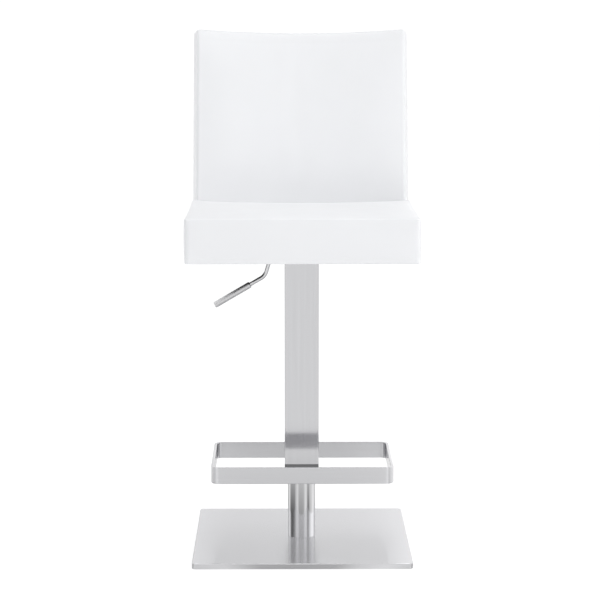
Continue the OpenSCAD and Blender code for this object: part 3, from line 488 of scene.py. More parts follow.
def mixed_colour(add, share, first, second, way="MIX"):
    """A mix of two colours."""
    return add("Mix", {"Factor": share, "A": first, "B": second}, output="Result",
               data_type="RGBA", blend_type=way)


def shade(colour, factor):
    """The colour made darker or lighter, each part kept below one."""
    return tuple(min(1.0, part * factor) for part in colour)


class Surface:
    """A principled material under construction."""

    def __init__(self, name, colour, roughness, metallic=0.0):
        self.colour = colour
        self.material = bpy.data.materials.new(name + FINISH_MARK)
        self.material.use_nodes = True
        self.material.diffuse_color = (*colour, 1.0)
        self.add = node_maker(self.material.node_tree)
        self.set("Base Color", (*colour, 1.0))
        self.set("Roughness", roughness)
        self.set("Metallic", metallic)

    def set(self, socket, value):
        tree = self.material.node_tree
        put(tree, tree.nodes["Principled BSDF"].inputs[socket], value)

    def place(self, scale=(1, 1, 1)):
        """The piece's own coordinates, scaled."""
        where = self.add("TexCoord", output="Object")
        return self.add("Mapping", {"Vector": where, "Scale": scale})

    def noise(self, scale, detail=3.0, roughness=0.55, stretch=(1, 1, 1)):
        return self.add("TexNoise", {"Vector": self.place(stretch), "Scale": scale, "Detail": detail,
                                     "Roughness": roughness})

    def cells(self, scale, feature="DISTANCE_TO_EDGE"):
        return self.add("TexVoronoi", {"Vector": self.place(), "Scale": scale}, feature=feature)

    def waves(self, scale, distortion, way):
        return self.add("TexWave", {"Vector": self.place(), "Scale": scale, "Distortion": distortion},
                        bands_direction=way)

    def between(self, share, low, high, start=0.0, end=1.0):
        """A value that goes from low to high as share goes from start to end."""
        return self.add("MapRange", {"Value": share, "From Min": start, "From Max": end,
                                     "To Min": low, "To Max": high})

    def sums(self, first, second, operation="ADD"):
        return self.add("Math", (first, second), operation=operation)

    def tone(self, share, dark, light):
        """Sets the colour between two shades of it."""
        first, second = ((*shade(self.colour, factor), 1.0) for factor in (dark, light))
        self.set("Base Color", mixed_colour(self.add, share, first, second))

    def gloss(self, share, smooth, rough, start=0.3, end=0.7):
        self.set("Roughness", self.between(share, smooth, rough, start, end))

    def bump(self, height, distance, strength):
        """Sets the relief and gives the finished material."""
        self.set("Normal", self.add("Bump", {"Height": height, "Distance": distance,
                                             "Strength": strength}))
        return self.material


def brushed_steel(name, colour, streaks, roughness, axis, turn=0.0):
    """Brushed steel: noise drawn out along the grain sets the tone and the gloss, and the gloss is
    drawn out across the grain, about the given axis or turned from it."""
    s = Surface(name, colour, roughness, 1.0)
    s.set("Anisotropic", 1.0)
    s.set("Anisotropic Rotation", turn)
    s.set("Tangent", s.add("Tangent", direction_type="RADIAL", axis=axis))
    fine = s.noise(1.0, 4.0, 0.7, streaks)
    s.tone(s.between(fine, 0, 1, 0.3, 0.7), 0.97, 1.022)
    both = s.sums(fine, s.between(s.noise(9.0, 2.0), -0.15, 0.15))
    s.gloss(both, roughness - 0.015, roughness + 0.015, 0.2, 0.8)
    return s.material


def smooth_steel(name, colour, roughness):
    """Polished or ground steel with faint cloudy wear in its tone and gloss."""
    s = Surface(name, colour, roughness, 1.0)
    clouds = s.noise(14.0)
    s.gloss(clouds, roughness * 0.7, roughness * 1.5)
    s.tone(clouds, 0.97, 1.02)
    return s.bump(s.noise(60.0, 2.0), 0.01 * MM, 0.2)


def zinc_plate(name, colour):
    """Zinc plate: small cloudy patches in tone and gloss."""
    s = Surface(name, colour, 0.38, 1.0)
    patches = s.cells(260.0, "F1")
    s.tone(patches, 0.85, 1.1)
    s.gloss(s.noise(90.0), 0.28, 0.5)
    return s.bump(patches, 0.02 * MM, 0.3)


def powder_coat(name, colour):
    """Powder coat: fine orange peel, a little dustier in places."""
    s = Surface(name, colour, 0.45)
    s.tone(s.noise(25.0), 0.8, 1.5)
    s.gloss(s.noise(70.0), 0.38, 0.58)
    return s.bump(s.noise(1400.0, 2.0), 0.06 * MM, 0.5)


def moulded(name, colour, roughness, grain):
    """Moulded plastic or rubber: a fine spark-eroded grain and slight changes in gloss."""
    s = Surface(name, colour, roughness)
    s.tone(s.noise(30.0), 0.85, 1.2)
    s.gloss(s.noise(55.0), roughness - 0.06, roughness + 0.08)
    return s.bump(s.noise(grain), 0.05 * MM, 0.6)


def birch_plywood(name, colour):
    """Birch plywood: veneers 1.4 mm thick along Z by turns, with long grain across."""
    s = Surface(name, colour, 0.6)
    plies = s.waves(110.0, 0.6, "Z")
    grain = s.noise(1.0, 5.0, 0.6, (14, 220, 220))
    s.tone(s.sums(s.between(plies, 0.0, 0.45), s.between(grain, 0.0, 0.6)), 0.62, 1.15)
    s.gloss(grain, 0.5, 0.75, 0.0, 1.0)
    return s.bump(grain, 0.1 * MM, 0.4)


def lining_cloth(name, colour):
    """Thin woven cloth: two crossed sets of threads."""
    s = Surface(name, colour, 0.9)
    s.set("Sheen Weight", 0.25)
    s.set("Sheen Roughness", 0.6)
    weave = s.sums(s.waves(220.0, 0.4, "X"), s.waves(220.0, 0.4, "Y"), "MULTIPLY")
    s.tone(weave, 0.5, 2.2)
    return s.bump(weave, 0.15 * MM, 0.7)


def white_leatherette(name, colour):
    """Leatherette: pebbled grain about 1 mm across with finer creases, faint broad changes of tone
    and gloss, and a soft sheen."""
    s = Surface(name, colour, 0.42)
    s.set("Specular IOR Level", 0.4)
    s.set("Sheen Weight", 0.06)
    s.set("Sheen Roughness", 0.5)
    broad = s.noise(7.0, 2.0)
    pebbles = s.cells(850.0)
    s.tone(s.sums(s.between(broad, 0.0, 0.8, 0.3, 0.7), s.between(pebbles, 0.0, 0.2, 0.0, 0.25)),
           0.98, 1.003)
    s.gloss(s.noise(22.0), 0.36, 0.5)
    creases = s.between(s.noise(1900.0), 0.0, 0.4)
    return s.bump(s.sums(s.between(pebbles, 0.0, 1.0, 0.0, 0.2), creases), 0.05 * MM, 0.35)


def make_finishes(colours):
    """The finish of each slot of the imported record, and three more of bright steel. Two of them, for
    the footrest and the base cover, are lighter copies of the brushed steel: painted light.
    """
    brushed_steel("brushed_stainless", colours.brushed, (260, 260, 4), 0.2, "Z")
    # Painted light: the footrest's finish is the brushed steel's colour made a tenth lighter, a lit
    # copy of the same steel
    brushed_steel("level_grain_painted_light", shade(colours.brushed, 1.1), (4, 4, 400), 0.2, "Z", 0.25)
    # Painted light: the base cover's finish is the brushed steel's colour made lighter by 1.18, a lit
    # copy of the same steel
    brushed_steel("soft_mirror_painted_light", shade(colours.brushed, 1.18), (7, 600, 600), 0.26, "X")
    smooth_steel("polished_stainless", colours.polished, 0.06)
    smooth_steel("knurled_steel", colours.polished, 0.24)
    smooth_steel("lever_steel", colours.polished, 0.15)
    zinc_plate("zinc_steel", colours.zinc)
    smooth_steel("bearing_steel", colours.bearing, 0.1)
    powder_coat("black_steel", colours.black_steel)
    moulded("dark_plastic", colours.dark_plastic, 0.5, 900.0)
    moulded("grey_plastic", colours.grey_plastic, 0.45, 900.0)
    moulded("bumper_rubber", colours.rubber, 0.75, 500.0)
    moulded("felt_rubber", colours.felt, 0.9, 350.0)
    birch_plywood("plywood", colours.plywood)
    lining_cloth("black_cloth", colours.cloth)
    white_leatherette("leatherette", colours.leatherette)


def finish(name):
    """The finish of that name."""
    return bpy.data.materials[name + FINISH_MARK]


class STOOL_OT_hardware(Operator):
    """Every finish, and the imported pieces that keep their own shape: each gets its slot's finish"""

    bl_idname = "stool.hardware"
    bl_label = "Finishes and Hardware"

    def execute(self, context):
        make_finishes(context.scene.stool_finishes)
        for part in frame["record"]["subparts"]:
            mesh = frame["nodes"][part["node"]].data
            mesh.materials.clear()
            mesh.materials.append(finish(part["material_slot"]))
        return {"FINISHED"}


# Base, columns and footrest


class STOOL_OT_base(Operator):
    """Pressed stainless cover of the base, with its skirt and its bore"""

    bl_idname = "stool.base"
    bl_label = "Base Cover"

    def execute(self, context):
        sizes = context.scene.stool_steel
        low, high = measured("base_cover")
        sheet = sizes.cover_sheet
        bore = measured("column_tube")[1][0] - sizes.tube_wall
        inner = high[0] - bore
        # From the bore out over the top, down the skirt, round its lip, up inside and back
        profile = rounded_path(
            [(inner, high[2]), (0, high[2]), (0, low[2]), (sheet, low[2]), (sheet, high[2] - sheet),
             (inner, high[2] - sheet)],
            [sizes.base_edge, *(share * sheet for share in COVER_ROUNDS)], COVER_ARC)
        # The base cover takes the lighter copy of the brushed steel, which is painted light
        new_piece("pressed_base_cover", bored_frame(profile, high[0], sizes.base_corner, BASE_ARC),
                  "base", "soft_mirror_painted_light", "brushed_stainless", "base_cover")
        return {"FINISHED"}


class STOOL_OT_round_tube(Operator):
    """Polished round tube that stands on the base"""

    bl_idname = "stool.round_tube"
    bl_label = "Round Tube"

    def execute(self, context):
        sizes = context.scene.stool_steel
        low, high = measured("column_tube")
        section = tube_section(high[0] - sizes.tube_wall, high[0], low[2], high[2], sizes.cut_edge)
        new_piece("polished_round_tube", turned(section, TUBE_POINTS),
                  "base", "polished_stainless", "polished_stainless", "column_tube")
        return {"FINISHED"}


class STOOL_OT_column(Operator):
    """Brushed square column and the plastic collar under its edge"""

    bl_idname = "stool.column"
    bl_label = "Square Column"

    def execute(self, context):
        sizes = context.scene.stool_steel
        low, high = measured("square_column")
        section = tube_section(sizes.column_wall, 0, low[2], high[2], sizes.cut_edge)
        new_piece("brushed_square_column", carried_frame(section, *high[:2], sizes.column_corner),
                  "seat", "brushed_stainless", "brushed_stainless", "square_column")

        rim_low, rim_high = measured("column_collar")
        bore = measured("column_tube")[1][0] + FIT
        step = sizes.column_wall + FIT
        inner = rim_high[0] - bore
        profile = rounded_path(
            [(inner, rim_low[2]), (0, rim_low[2]), (0, low[2]), (step, low[2]),
             (step, low[2] + sizes.spigot), (inner, low[2] + sizes.spigot)], COLLAR_ROUNDS)
        collar = bored_frame(profile, rim_high[0], sizes.column_corner, COLLAR_ARC)
        new_piece("column_end_collar", collar, "seat", "dark_plastic", "dark_plastic", "column_collar")
        return {"FINISHED"}


class STOOL_OT_footrest(Operator):
    """Footrest: flat bar with rounded edges, bent to a closed loop"""

    bl_idname = "stool.footrest"
    bl_label = "Footrest"

    def execute(self, context):
        sizes = context.scene.stool_steel
        low, high = measured("footrest")
        section = tube_section(sizes.bar_thickness, 0, low[2], high[2], sizes.bar_edge)
        loop = carried_frame(section, *(high - low)[:2] / 2, sizes.bar_corner, (low[1] + high[1]) / 2)
        # The footrest takes the lighter copy of the brushed steel, which is painted light
        new_piece("footrest_loop", loop, "seat", "level_grain_painted_light", "brushed_stainless", "footrest")
        return {"FINISHED"}


# Release lever


def lever_line(sizes):
    """The lever's corners in its upright plane, x to the right and z up, from its tip to its end:
    level to the elbow, down the drop to the knee and out along the grip, whose heading comes too."""
    elbow = np.array([-sizes.elbow, sizes.level])
    knee = elbow - sizes.drop * np.array([math.cos(sizes.drop_angle), math.sin(sizes.drop_angle)])
    heading = -np.array([math.cos(sizes.grip_angle), math.sin(sizes.grip_angle)])
    end = knee + sizes.reach * heading
    return np.array([[sizes.tip, sizes.level], elbow, knee, end]), heading


def round_bar(name, line, radii, look, slot, node):
    """A lever piece of circles carried along a line in the plane of x and z, with a row of radii for
    each point: the line's point plus radius times (cos t times its normal plus sin t times Y)."""
    ahead = np.gradient(line, axis=0)
    ahead /= np.linalg.norm(ahead, axis=1, keepdims=True)
    normal = np.stack([-ahead[:, 1], ahead[:, 0]], -1)
    angle = np.linspace(0, 2 * np.pi, radii.shape[1], endpoint=False)
    flat = line[:, None] + (radii * np.cos(angle))[..., None] * normal[:, None]
    grid = np.stack([flat[..., 0], radii * np.sin(angle), flat[..., 1]], -1)
    ends = [[line[k][0], 0, line[k][1]] for k in (0, -1)]
    new_piece(name, grid, "lever", look, slot, node, ends=ends)


def ridge(turns):
    """A triangle wave: 0 at each whole number of turns and 1 half way between."""
    return np.abs(2 * (turns - np.floor(turns + 0.5)))


def knurled_radii(sizes, along):
    """The grip's radii: two sets of helical V grooves that cross at a right angle, let out near the
    two chamfered ends."""
    count = round(math.pi * sizes.grip / sizes.knurl_pitch)
    around = count * np.linspace(0, 1, GROOVE_POINTS * count, endpoint=False)
    travel = along[:, None] / sizes.knurl_pitch
    groove = 1 - KNURL_SLOPE * np.minimum(ridge(around + travel), ridge(around - travel))
    from_end = np.minimum(along, sizes.grip_length - along)
    inside = np.clip((from_end - KNURL_MARGIN) / MM, 0, 1)
    plain = sizes.grip / 2 - np.clip(GRIP_CHAMFER - from_end, 0, None)
    return plain[:, None] - sizes.knurl_depth * np.clip(groove, 0, 1) * inside[:, None]


class STOOL_OT_lever(Operator):
    """Release lever: the bent bar and its knurled grip"""

    bl_idname = "stool.lever"
    bl_label = "Release Lever"

    def execute(self, context):
        sizes = context.scene.stool_lever
        corners, heading = lever_line(sizes)
        bar_end = corners[-1] - BAR_SHORT * heading
        line = rounded_path(np.vstack([corners[:-1], bar_end]), [sizes.bend, sizes.knee_bend], BEND_ARC)
        line = np.vstack([line[:1], line[:1] + [-TIP_CHAMFER, 0], line[1:]])
        radii = np.full((len(line), ROD_POINTS), sizes.rod / 2)
        radii[0] -= TIP_CHAMFER
        round_bar("bent_lever_bar", line, radii, "lever_steel", "polished_stainless", "lever_rod")

        rows = int(GROOVE_POINTS * sizes.grip_length / sizes.knurl_pitch) + 1
        along = np.linspace(0, sizes.grip_length, rows)
        along = np.unique([*along, GRIP_CHAMFER, sizes.grip_length - GRIP_CHAMFER])
        line = corners[-1] + (along - sizes.grip_length)[:, None] * heading
        round_bar("knurled_lever_grip", line, knurled_radii(sizes, along),
                  "knurled_steel", "knurled_steel", "lever_grip")
        return {"FINISHED"}


# Upholstery


def skin_normals(grid):
    """Unit normals of a grid whose rows are closed rings: the cross product of its two central
    differences."""
    around = np.roll(grid, -1, 1) - np.roll(grid, 1, 1)
    along = np.gradient(grid, axis=0)
    normal = np.cross(around, along)
    return normal / np.maximum(np.linalg.norm(normal, axis=-1, keepdims=True), 1e-12)


def seam_relief(distance, run, seams, strength):
    """Height of the skin at a distance from a seam: a bell-shaped valley, a lip on each side of it,
    and puckers along the run that fade away from it."""
    valley = -seams.depth * np.exp(-(distance / seams.half) ** 2)
    lip = seams.lip * np.exp(-((np.abs(distance) - LIP_PLACE * seams.half) / seams.half) ** 2)
    fade = np.exp(-(distance / (PUCKER_REACH * seams.half)) ** 2)
    phase = 2 * np.pi * run / seams.ripple
    pucker = seams.pucker * fade * np.cos(phase + PUCKER_STRAY * np.sin(phase / STRAY_LENGTH))
    return strength * (valley + lip + pucker)


def on_run(index, first, last):
    """One between the first and the last index, falling to none within three steps past them."""
    return np.clip(np.minimum(index - first, last - index) / 3 + 1, 0, 1)


def sewn(grid, seams, row_seams, column_seams):
    """The grid with its seams pressed in along its normals, the strongest where they meet. A row seam
    is a row, its first and last column and its strength; a column seam is the same the other way.
    Distances are lengths along the grid's own lines."""
    rows = np.arange(grid.shape[0])[:, None]
    columns = np.arange(grid.shape[1])[None, :]
    along = np.linalg.norm(np.diff(grid, axis=0), axis=-1)
    along = np.concatenate([np.zeros((1, grid.shape[1])), np.cumsum(along, 0)])
    steps = np.linalg.norm(np.roll(grid, -1, 1) - grid, axis=-1)
    around = np.cumsum(steps, 1) - steps
    girth = np.maximum(steps.sum(1, keepdims=True), MM)
    reliefs = []
    for row, first, last, strength in row_seams:
        relief = seam_relief(along - along[row], around[row], seams, strength)
        reliefs.append(on_run(columns, first, last) * relief)
    for column, first, last, strength in column_seams:
        apart = (around - around[:, column:column + 1] + girth / 2) % girth - girth / 2
        relief = seam_relief(apart, along[:, column:column + 1], seams, strength)
        reliefs.append(on_run(rows, first, last) * relief)
    deepest = np.abs(reliefs).argmax(0)[None]
    relief = np.take_along_axis(np.array(reliefs), deepest, 0)[0]
    return grid + relief[..., None] * skin_normals(grid)


def chosen(count, step, kept, closed):
    """Every step-th line of a grid, the kept ones and, where it isn't closed, its last."""
    lines = set(range(0, count, step)) | {line % count for line in kept}
    return np.array(sorted(lines if closed else lines | {count - 1}))


def carried_back(values, lines, count):
    """Values known at some lines along the first axis, drawn straight across the lines between."""
    at = np.arange(count)
    before = np.clip(np.searchsorted(lines, at, side="right") - 1, 0, len(lines) - 2)
    share = (at - lines[before]) / (lines[before + 1] - lines[before])
    share = share.reshape(-1, *[1] * (values.ndim - 1))
    return values[before] * (1 - share) + values[before + 1] * share


def softened(values, passes):
    """Each pass takes every value half way to the mean of its neighbours, along and around."""
    for _ in range(passes):
        values = values / 2 + (np.roll(values, 1, 1) + np.roll(values, -1, 1)) / 4
        inner = values[1:-1] / 2 + (values[:-2] + values[2:]) / 4
        values = np.concatenate([values[:1], inner, values[-1:]])
    return values


def swollen(points, faces, pinned, cloth_sizes):
    """Where the points of a closed cover end up when it swells under pressure as cloth, with the
    pinned ones kept and nothing moved further than the cap."""
    scene = bpy.context.scene
    mesh = bpy.data.meshes.new("cover")
    mesh.from_pydata(points.tolist(), [], faces)
    cover = bpy.data.objects.new("cover", mesh)
    scene.collection.objects.link(cover)
    pins = cover.vertex_groups.new(name="pinned")
    pins.add(np.flatnonzero(pinned).tolist(), 1.0, "REPLACE")
    modifier = cover.modifiers.new("swell", "CLOTH")
    cloth = modifier.settings
    cloth.vertex_group_mass = pins.name
    cloth.use_pressure = True
    cloth.uniform_pressure_force = cloth_sizes.pressure
    cloth.quality = CLOTH_QUALITY
    cloth.tension_stiffness = cloth.compression_stiffness = CLOTH_STRETCH
    cloth.shear_stiffness = CLOTH_SHEAR
    cloth.effector_weights.gravity = 0
    modifier.point_cache.frame_start, modifier.point_cache.frame_end = 1, cloth_sizes.frames
    for number in range(1, cloth_sizes.frames + 1):
        scene.frame_set(number)
    result = cover.evaluated_get(bpy.context.evaluated_depsgraph_get()).data
    after = np.empty(3 * len(points))
    result.vertices.foreach_get("co", after)
    scene.frame_set(1)
    bpy.data.objects.remove(cover)
    bpy.data.meshes.remove(mesh)
    move = after.reshape(-1, 3) - points
    reach = np.linalg.norm(move, axis=1, keepdims=True)
    return points + move * np.minimum(1, cloth_sizes.cap / np.maximum(reach, 1e-9))


def together(points):
    """The first point of each group of points that lie together, and the group of every point."""
    whole = np.round(points / ONE_POINT) + 0.0
    first, group = np.unique(whole, axis=0, return_index=True, return_inverse=True)[1:]
    return first, group.reshape(-1)


def stuffed(grid, pinned, rows, columns, cloth_sizes):
    """The grid of a cover after a coarse copy of it has swollen as cloth. The copy has the given rows
    and columns, where the seams are, and every few between; its movement is carried back to the
    whole grid, softened, and shared by the points that lie together."""
    down = chosen(grid.shape[0], COARSE_ROWS, rows, False)
    around = chosen(grid.shape[1], COARSE_COLUMNS, columns, True)
    pick = np.ix_(down, around)
    points = grid[pick].reshape(-1, 3)
    first, same = together(points)
    start = points[first]
    quads = same[ring_quads(len(down), len(around))]
    step = 1 if volume(start, [quads]) > 0 else -1
    faces = [list(dict.fromkeys(quad[::step])) for quad in quads.tolist()]
    pins = np.zeros(len(first), bool)
    pins[same[pinned[pick].reshape(-1)]] = True
    move = (swollen(start, [face for face in faces if len(face) > 2], pins, cloth_sizes) - start)[same]
    move = move.reshape(len(down), len(around), 3)
    move = carried_back(move, down, grid.shape[0]).swapaxes(0, 1)
    move = np.concatenate([move, move[:1]])
    move = carried_back(move, np.append(around, grid.shape[1]), grid.shape[1]).swapaxes(0, 1)
    move = softened(move, SOFT_PASSES).reshape(-1, 3)
    group = together(grid.reshape(-1, 3))[1]
    mean = np.stack([np.bincount(group, part) for part in move.T], -1) / np.bincount(group)[:, None]
    return grid + mean[group].reshape(grid.shape)


def drawn_corner(corner, inset, least, half):
    """The corner radius of a rectangle drawn in by an inset: less by it, but at least the least one
    and at most the half size that is left."""
    return np.minimum(np.maximum(corner - inset, least), half - inset)


class BackShape:
    """The backrest's curved and raked frame, in numpy."""

    def __init__(self, sizes, seat):
        self.s = sizes
        self.under, self.top, self.foot_edge = seat.under, seat.top, seat.edge
        self.half = sizes.width / 2
        self.radius = (self.half ** 2 + sizes.sag ** 2) / (2 * sizes.sag)
        self.cos, self.sin = math.cos(sizes.rake), math.sin(sizes.rake)

    def raked(self, setback, rise):
        """World y and z of a setback and a rise along the rake."""
        y = self.s.place + setback * self.cos + rise * self.sin
        return y, self.top - setback * self.sin + rise * self.cos

    def rise_at(self, setback, z):
        """The rise at which a line of that setback meets height z."""
        return (z - self.top + setback * self.sin) / self.cos

    def face_y(self, x, z):
        """Where the face is at x and height z: the arc of the backrest's radius, raked."""
        setback = np.sqrt(self.radius ** 2 - x ** 2) - self.radius
        return self.raked(setback, self.rise_at(setback, z))[0]

    def skin(self, u, w, share, lift, crowned):
        """A point of the skin for arc length u, depth w behind the face and share of the way up:
        the top dips by a parabola in u, the faces are crowned by a fourth power in u times a sine
        in height, and the arc is wrapped about the backrest's radius."""
        s = self.s
        top = s.rise - s.dip * (1 - (u / self.half) ** 2)
        foot = self.under - self.top
        t = np.clip((foot + (top - foot) * share) / top, 0, 1)
        front = 1 - w / s.thick
        bulge = crowned * (1 - (u / self.half) ** 4) * np.sin(np.pi * t)
        depth = w - s.crown * front * bulge + s.crown_rear * (1 - front) * bulge
        bend = (u - s.taper * t * u / self.half) / self.radius
        setback = (self.radius + depth) * np.cos(bend) - self.radius
        start = self.rise_at(setback, self.under)
        y, z = self.raked(setback, start + (top - start) * share + lift)
        return np.stack([(self.radius + depth) * np.sin(bend), y, z], -1)


def eased(count, *anchors, closeness=9, reach=0.035):
    """Shares from 0 to 1 that lie closer together at the anchors."""
    fine = np.linspace(0, 1, 4001)
    density = 1 + sum(closeness * np.exp(-((fine - anchor) / reach) ** 2) for anchor in anchors)
    total = np.concatenate([[0], np.cumsum((density[1:] + density[:-1]) / 2)])
    return np.interp(np.linspace(0, 1, count), total / total[-1], fine)


def seat_profile(s, place):
    """Insets, heights and crowns of the seat's rows: round the lower edge, up the swelling side,
    round the upper edge and in across the crowned top to the middle line."""
    reach = (s.front + place) / 2
    turn = np.linspace(0, np.pi / 2, SEAT_ARC + 1)
    side = eased(SEAT_SIDE + 2, 0.0, 1.0)[1:-1]
    inward = (reach - s.edge) * eased(SEAT_IN + 1, 0.0)[1:]
    inset = np.concatenate([s.edge * (1 - np.sin(turn)), -s.swell * np.sin(np.pi * side),
                            s.edge * (1 - np.cos(turn)), s.edge + inward])
    z = np.concatenate([s.under + s.edge * (1 - np.cos(turn)),
                        s.under + s.edge + (s.top - s.under - 2 * s.edge) * side,
                        s.top - s.edge * (1 - np.sin(turn)), np.full(SEAT_IN, s.top)])
    crown = np.zeros(len(z))
    crown[-SEAT_IN:] = s.crown * np.sin(np.pi / 2 * inward / (reach - s.edge))
    return inset, z, crown


def seat_skin(s, back, x, y, z, crown):
    """The seat's skin: the sides are drawn in by a parabola along them, the rear is stretched to the
    backrest's face, and the top dips towards the rear middle."""
    a, b = s.width / 2, (s.front + back.s.place) / 2
    draw_x = x * (1 - s.pull / a * (1 - (y / b) ** 2))
    share = np.minimum(1, (y * (1 - s.pull / b * (1 - (x / a) ** 2)) / b + 1) / 2)
    rise = (z - s.under) / (s.top - s.under)
    level = z - s.dip * share ** 2 * (1 - (draw_x / a) ** 2) * rise + crown
    rear = back.face_y(draw_x, level) - s.gap
    return np.stack([draw_x, -s.front + (rear + s.front) * share, level], -1)


def seat_grid(s, back):
    """The seat's closed rings, with the heights of its skin's rows: a line and two rings of the
    recess around the board, then the skin's rows, the last one closed on a line."""
    a, b = s.width / 2, (s.front + back.s.place) / 2
    inset, z, crown = seat_profile(s, back.s.place)
    inset[-1] = b
    steps = SEAT_ARC, inner_shares(SEAT_ALONG), inner_shares(SEAT_ALONG)
    radius = drawn_corner(s.corner, inset, LEAST_SEAT_CORNER, b)
    rings = rounded_rings(a - inset, b - inset, radius, *steps)
    skin = seat_skin(s, back, rings[..., 0], rings[..., 1], z[:, None], crown[:, None])
    board_w, board_d = a - s.rim + s.gap, (s.front - s.rim + s.board_rear) / 2 + s.gap
    x, y = rounded_rings(board_w, board_d, BOARD_CORNER + s.gap, *steps)[0].T
    middle = (s.board_rear - s.front + s.rim) / 2
    recess = [np.column_stack([x, share * y + middle, np.full(len(x), s.under + depth)])
              for share, depth in ((0, s.recess), (1, s.recess), (1, 0))]
    return np.concatenate([np.stack(recess), skin]), z


def cover_piece(name, grid, node):
    """A padded cover of leatherette."""
    piece = new_piece(name, grid, "seat", "leatherette", "leatherette", node, closed=False)


class STOOL_OT_seat_cushion(Operator):
    """Seat cushion: boxed leatherette over foam, with its seams"""

    bl_idname = "stool.seat_cushion"
    bl_label = "Seat Cushion"

    def execute(self, context):
        s, seams = context.scene.stool_seat, context.scene.stool_seams
        grid, z = seat_grid(s, BackShape(context.scene.stool_back, s))
        skin = grid[BOARD_ROWS:]
        low = int(np.argmin(np.abs(z - s.under - s.low_seam)))
        top = SEAT_ARC + 1 + SEAT_SIDE + SEAT_ARC // 2
        middles = corner_columns(SEAT_ARC, SEAT_ALONG, SEAT_ALONG, SEAT_ARC // 2)
        pinned = grid[..., 1] > grid[..., 1].max() - s.hold
        pinned[:BOARD_ROWS + low + 1] = pinned[BOARD_ROWS + top] = True
        pinned[:BOARD_ROWS + top + 1, middles] = True
        grid[:] = stuffed(grid, pinned, (BOARD_ROWS + low, BOARD_ROWS + top), middles,
                          context.scene.stool_cloth)
        skin[:] = sewn(skin, seams,
                       [(low, *ALL_ROUND, LOW_SEAM), (SEAT_ARC // 2, *ALL_ROUND, FOLD),
                        (top, *ALL_ROUND, TOP_SEAM)],
                       [(column, low, top, SEAT_CORNERS) for column in middles])
        cover_piece("seat_upholstery", grid, "seat_cushion")
        return {"FINISHED"}


def back_grid(s, back):
    """The backrest's closed rings: a line and two rings of the slot for the plywood, the foot's
    edge, the sides upwards, the rounded top edge and in across the top to a line."""
    turn = np.linspace(0, np.pi / 2, BACK_TOP + 1)
    foot = np.linspace(0, np.pi / 2, BACK_FOOT)
    shares = np.linspace(*BACK_SHARES, BACK_SIDE)
    inward = np.linspace(0, 1, BACK_IN + 1)[1:] * (s.thick / 2 - s.edge)
    still, flat = 0 * shares, 0 * inward
    low_inset, low_lift = back.foot_edge * (1 - np.sin(foot)), back.foot_edge * (1 - np.cos(foot))
    inset_u, inset_w = (np.concatenate([low_inset, still, edge * (1 - np.cos(turn)), edge + inward])
                        for edge in (s.corner, s.edge))
    share = np.concatenate([0 * foot, shares, 1 + 0 * turn, 1 + flat])
    lift = np.concatenate([low_lift, still, s.edge * (np.sin(turn) - 1), flat])
    steps = BACK_ARC, inner_shares(BACK_ALONG), inner_shares(BACK_ACROSS)
    radius = drawn_corner(s.edge, inset_w, LEAST_CORNER, s.thick / 2)
    rings = rounded_rings(back.half - inset_u, s.thick / 2 - inset_w, radius, *steps)
    skin = back.skin(rings[..., 0], rings[..., 1] + s.thick / 2, share[:, None], lift[:, None], 1.0)
    u, w = rounded_rings(s.slot_width / 2, s.slot_gap / 2, SLOT_CORNER, *steps)[0].T
    middle = s.slot_depth + s.slot_gap / 2
    slot = [back.skin(u, w * wide + middle, high, by, 0.0)
            for wide, high, by in ((0, 1.0, -s.slot_end), (1, 1.0, -s.slot_end), (1, 0.0, 0.0))]
    return np.concatenate([np.stack(slot), skin])


class STOOL_OT_back_cushion(Operator):
    """Backrest cushion: curved, raked and boxed leatherette, with a seam around each face"""

    bl_idname = "stool.back_cushion"
    bl_label = "Back Cushion"

    def execute(self, context):
        s, seams = context.scene.stool_back, context.scene.stool_seams
        grid = back_grid(s, BackShape(s, context.scene.stool_seat))
        skin = grid[BOARD_ROWS:]
        sides = corner_columns(BACK_ARC, BACK_ALONG, BACK_ACROSS, [BACK_ARC - BACK_SEAM, BACK_SEAM] * 2)
        top = BACK_FOOT + BACK_SIDE + BACK_TOP // 2
        faces = (sides[:2], sides[2:])
        pinned = np.ones(grid.shape[:2], bool)
        for first, last in faces:
            pinned[BOARD_ROWS + BACK_FOOT:BOARD_ROWS + top, first + 1:last] = False
        pinned |= grid[..., 2] < context.scene.stool_seat.top + s.hold
        grid[:] = stuffed(grid, pinned, (BOARD_ROWS + top,), sides, context.scene.stool_cloth)
        skin[:] = sewn(skin, seams, [(top, *face, BACK_TOP_SEAM) for face in faces],
                       [(column, BACK_FOOT, top, BACK_SIDE_SEAM) for column in sides])
        cover_piece("back_upholstery", grid, "back_cushion")
        return {"FINISHED"}


class STOOL_OT_lining(Operator):
    """Black lining cloth stapled under the seat board"""

    bl_idname = "stool.lining"
    bl_label = "Lining Cloth"

    def execute(self, context):
        low, high = measured("dust_cloth")
        half, middle = (high - low) / 2, (high + low) / 2
        share = inner_shares(LINING_ALONG)
        out = np.linspace(1, 0, LINING_ROWS)
        inset = half[1] * np.concatenate([out, out[::-1]])
        radius = drawn_corner(BOARD_CORNER, inset, LEAST_CORNER, half[1])
        rings = rounded_rings(half[0] - inset, half[1] - inset, radius, LINING_ARC, share, share)
        edge = (half[:2] - np.abs(rings)).min(-1)
        x, y = rings[..., 0], rings[..., 1]
        a, b, c, d = LINING_WAVES
        waves = np.sin(x / a + 2 * np.sin(y / b)) + np.sin(y / c + np.sin(x / d))
        slack = LINING_DEPTH * waves * np.exp(-edge / LINING_REACH)
        upper = (np.arange(len(inset)) > LINING_ROWS)[:, None]
        z = low[2] + LINING_LOW + slack + LINING_THICK * upper
        points = np.stack([x, y + middle[1], z], -1)
        piece = new_piece("underseat_lining", points, "seat", "black_cloth", "black_cloth",
                          "dust_cloth", closed=False)
        return {"FINISHED"}


# Stage


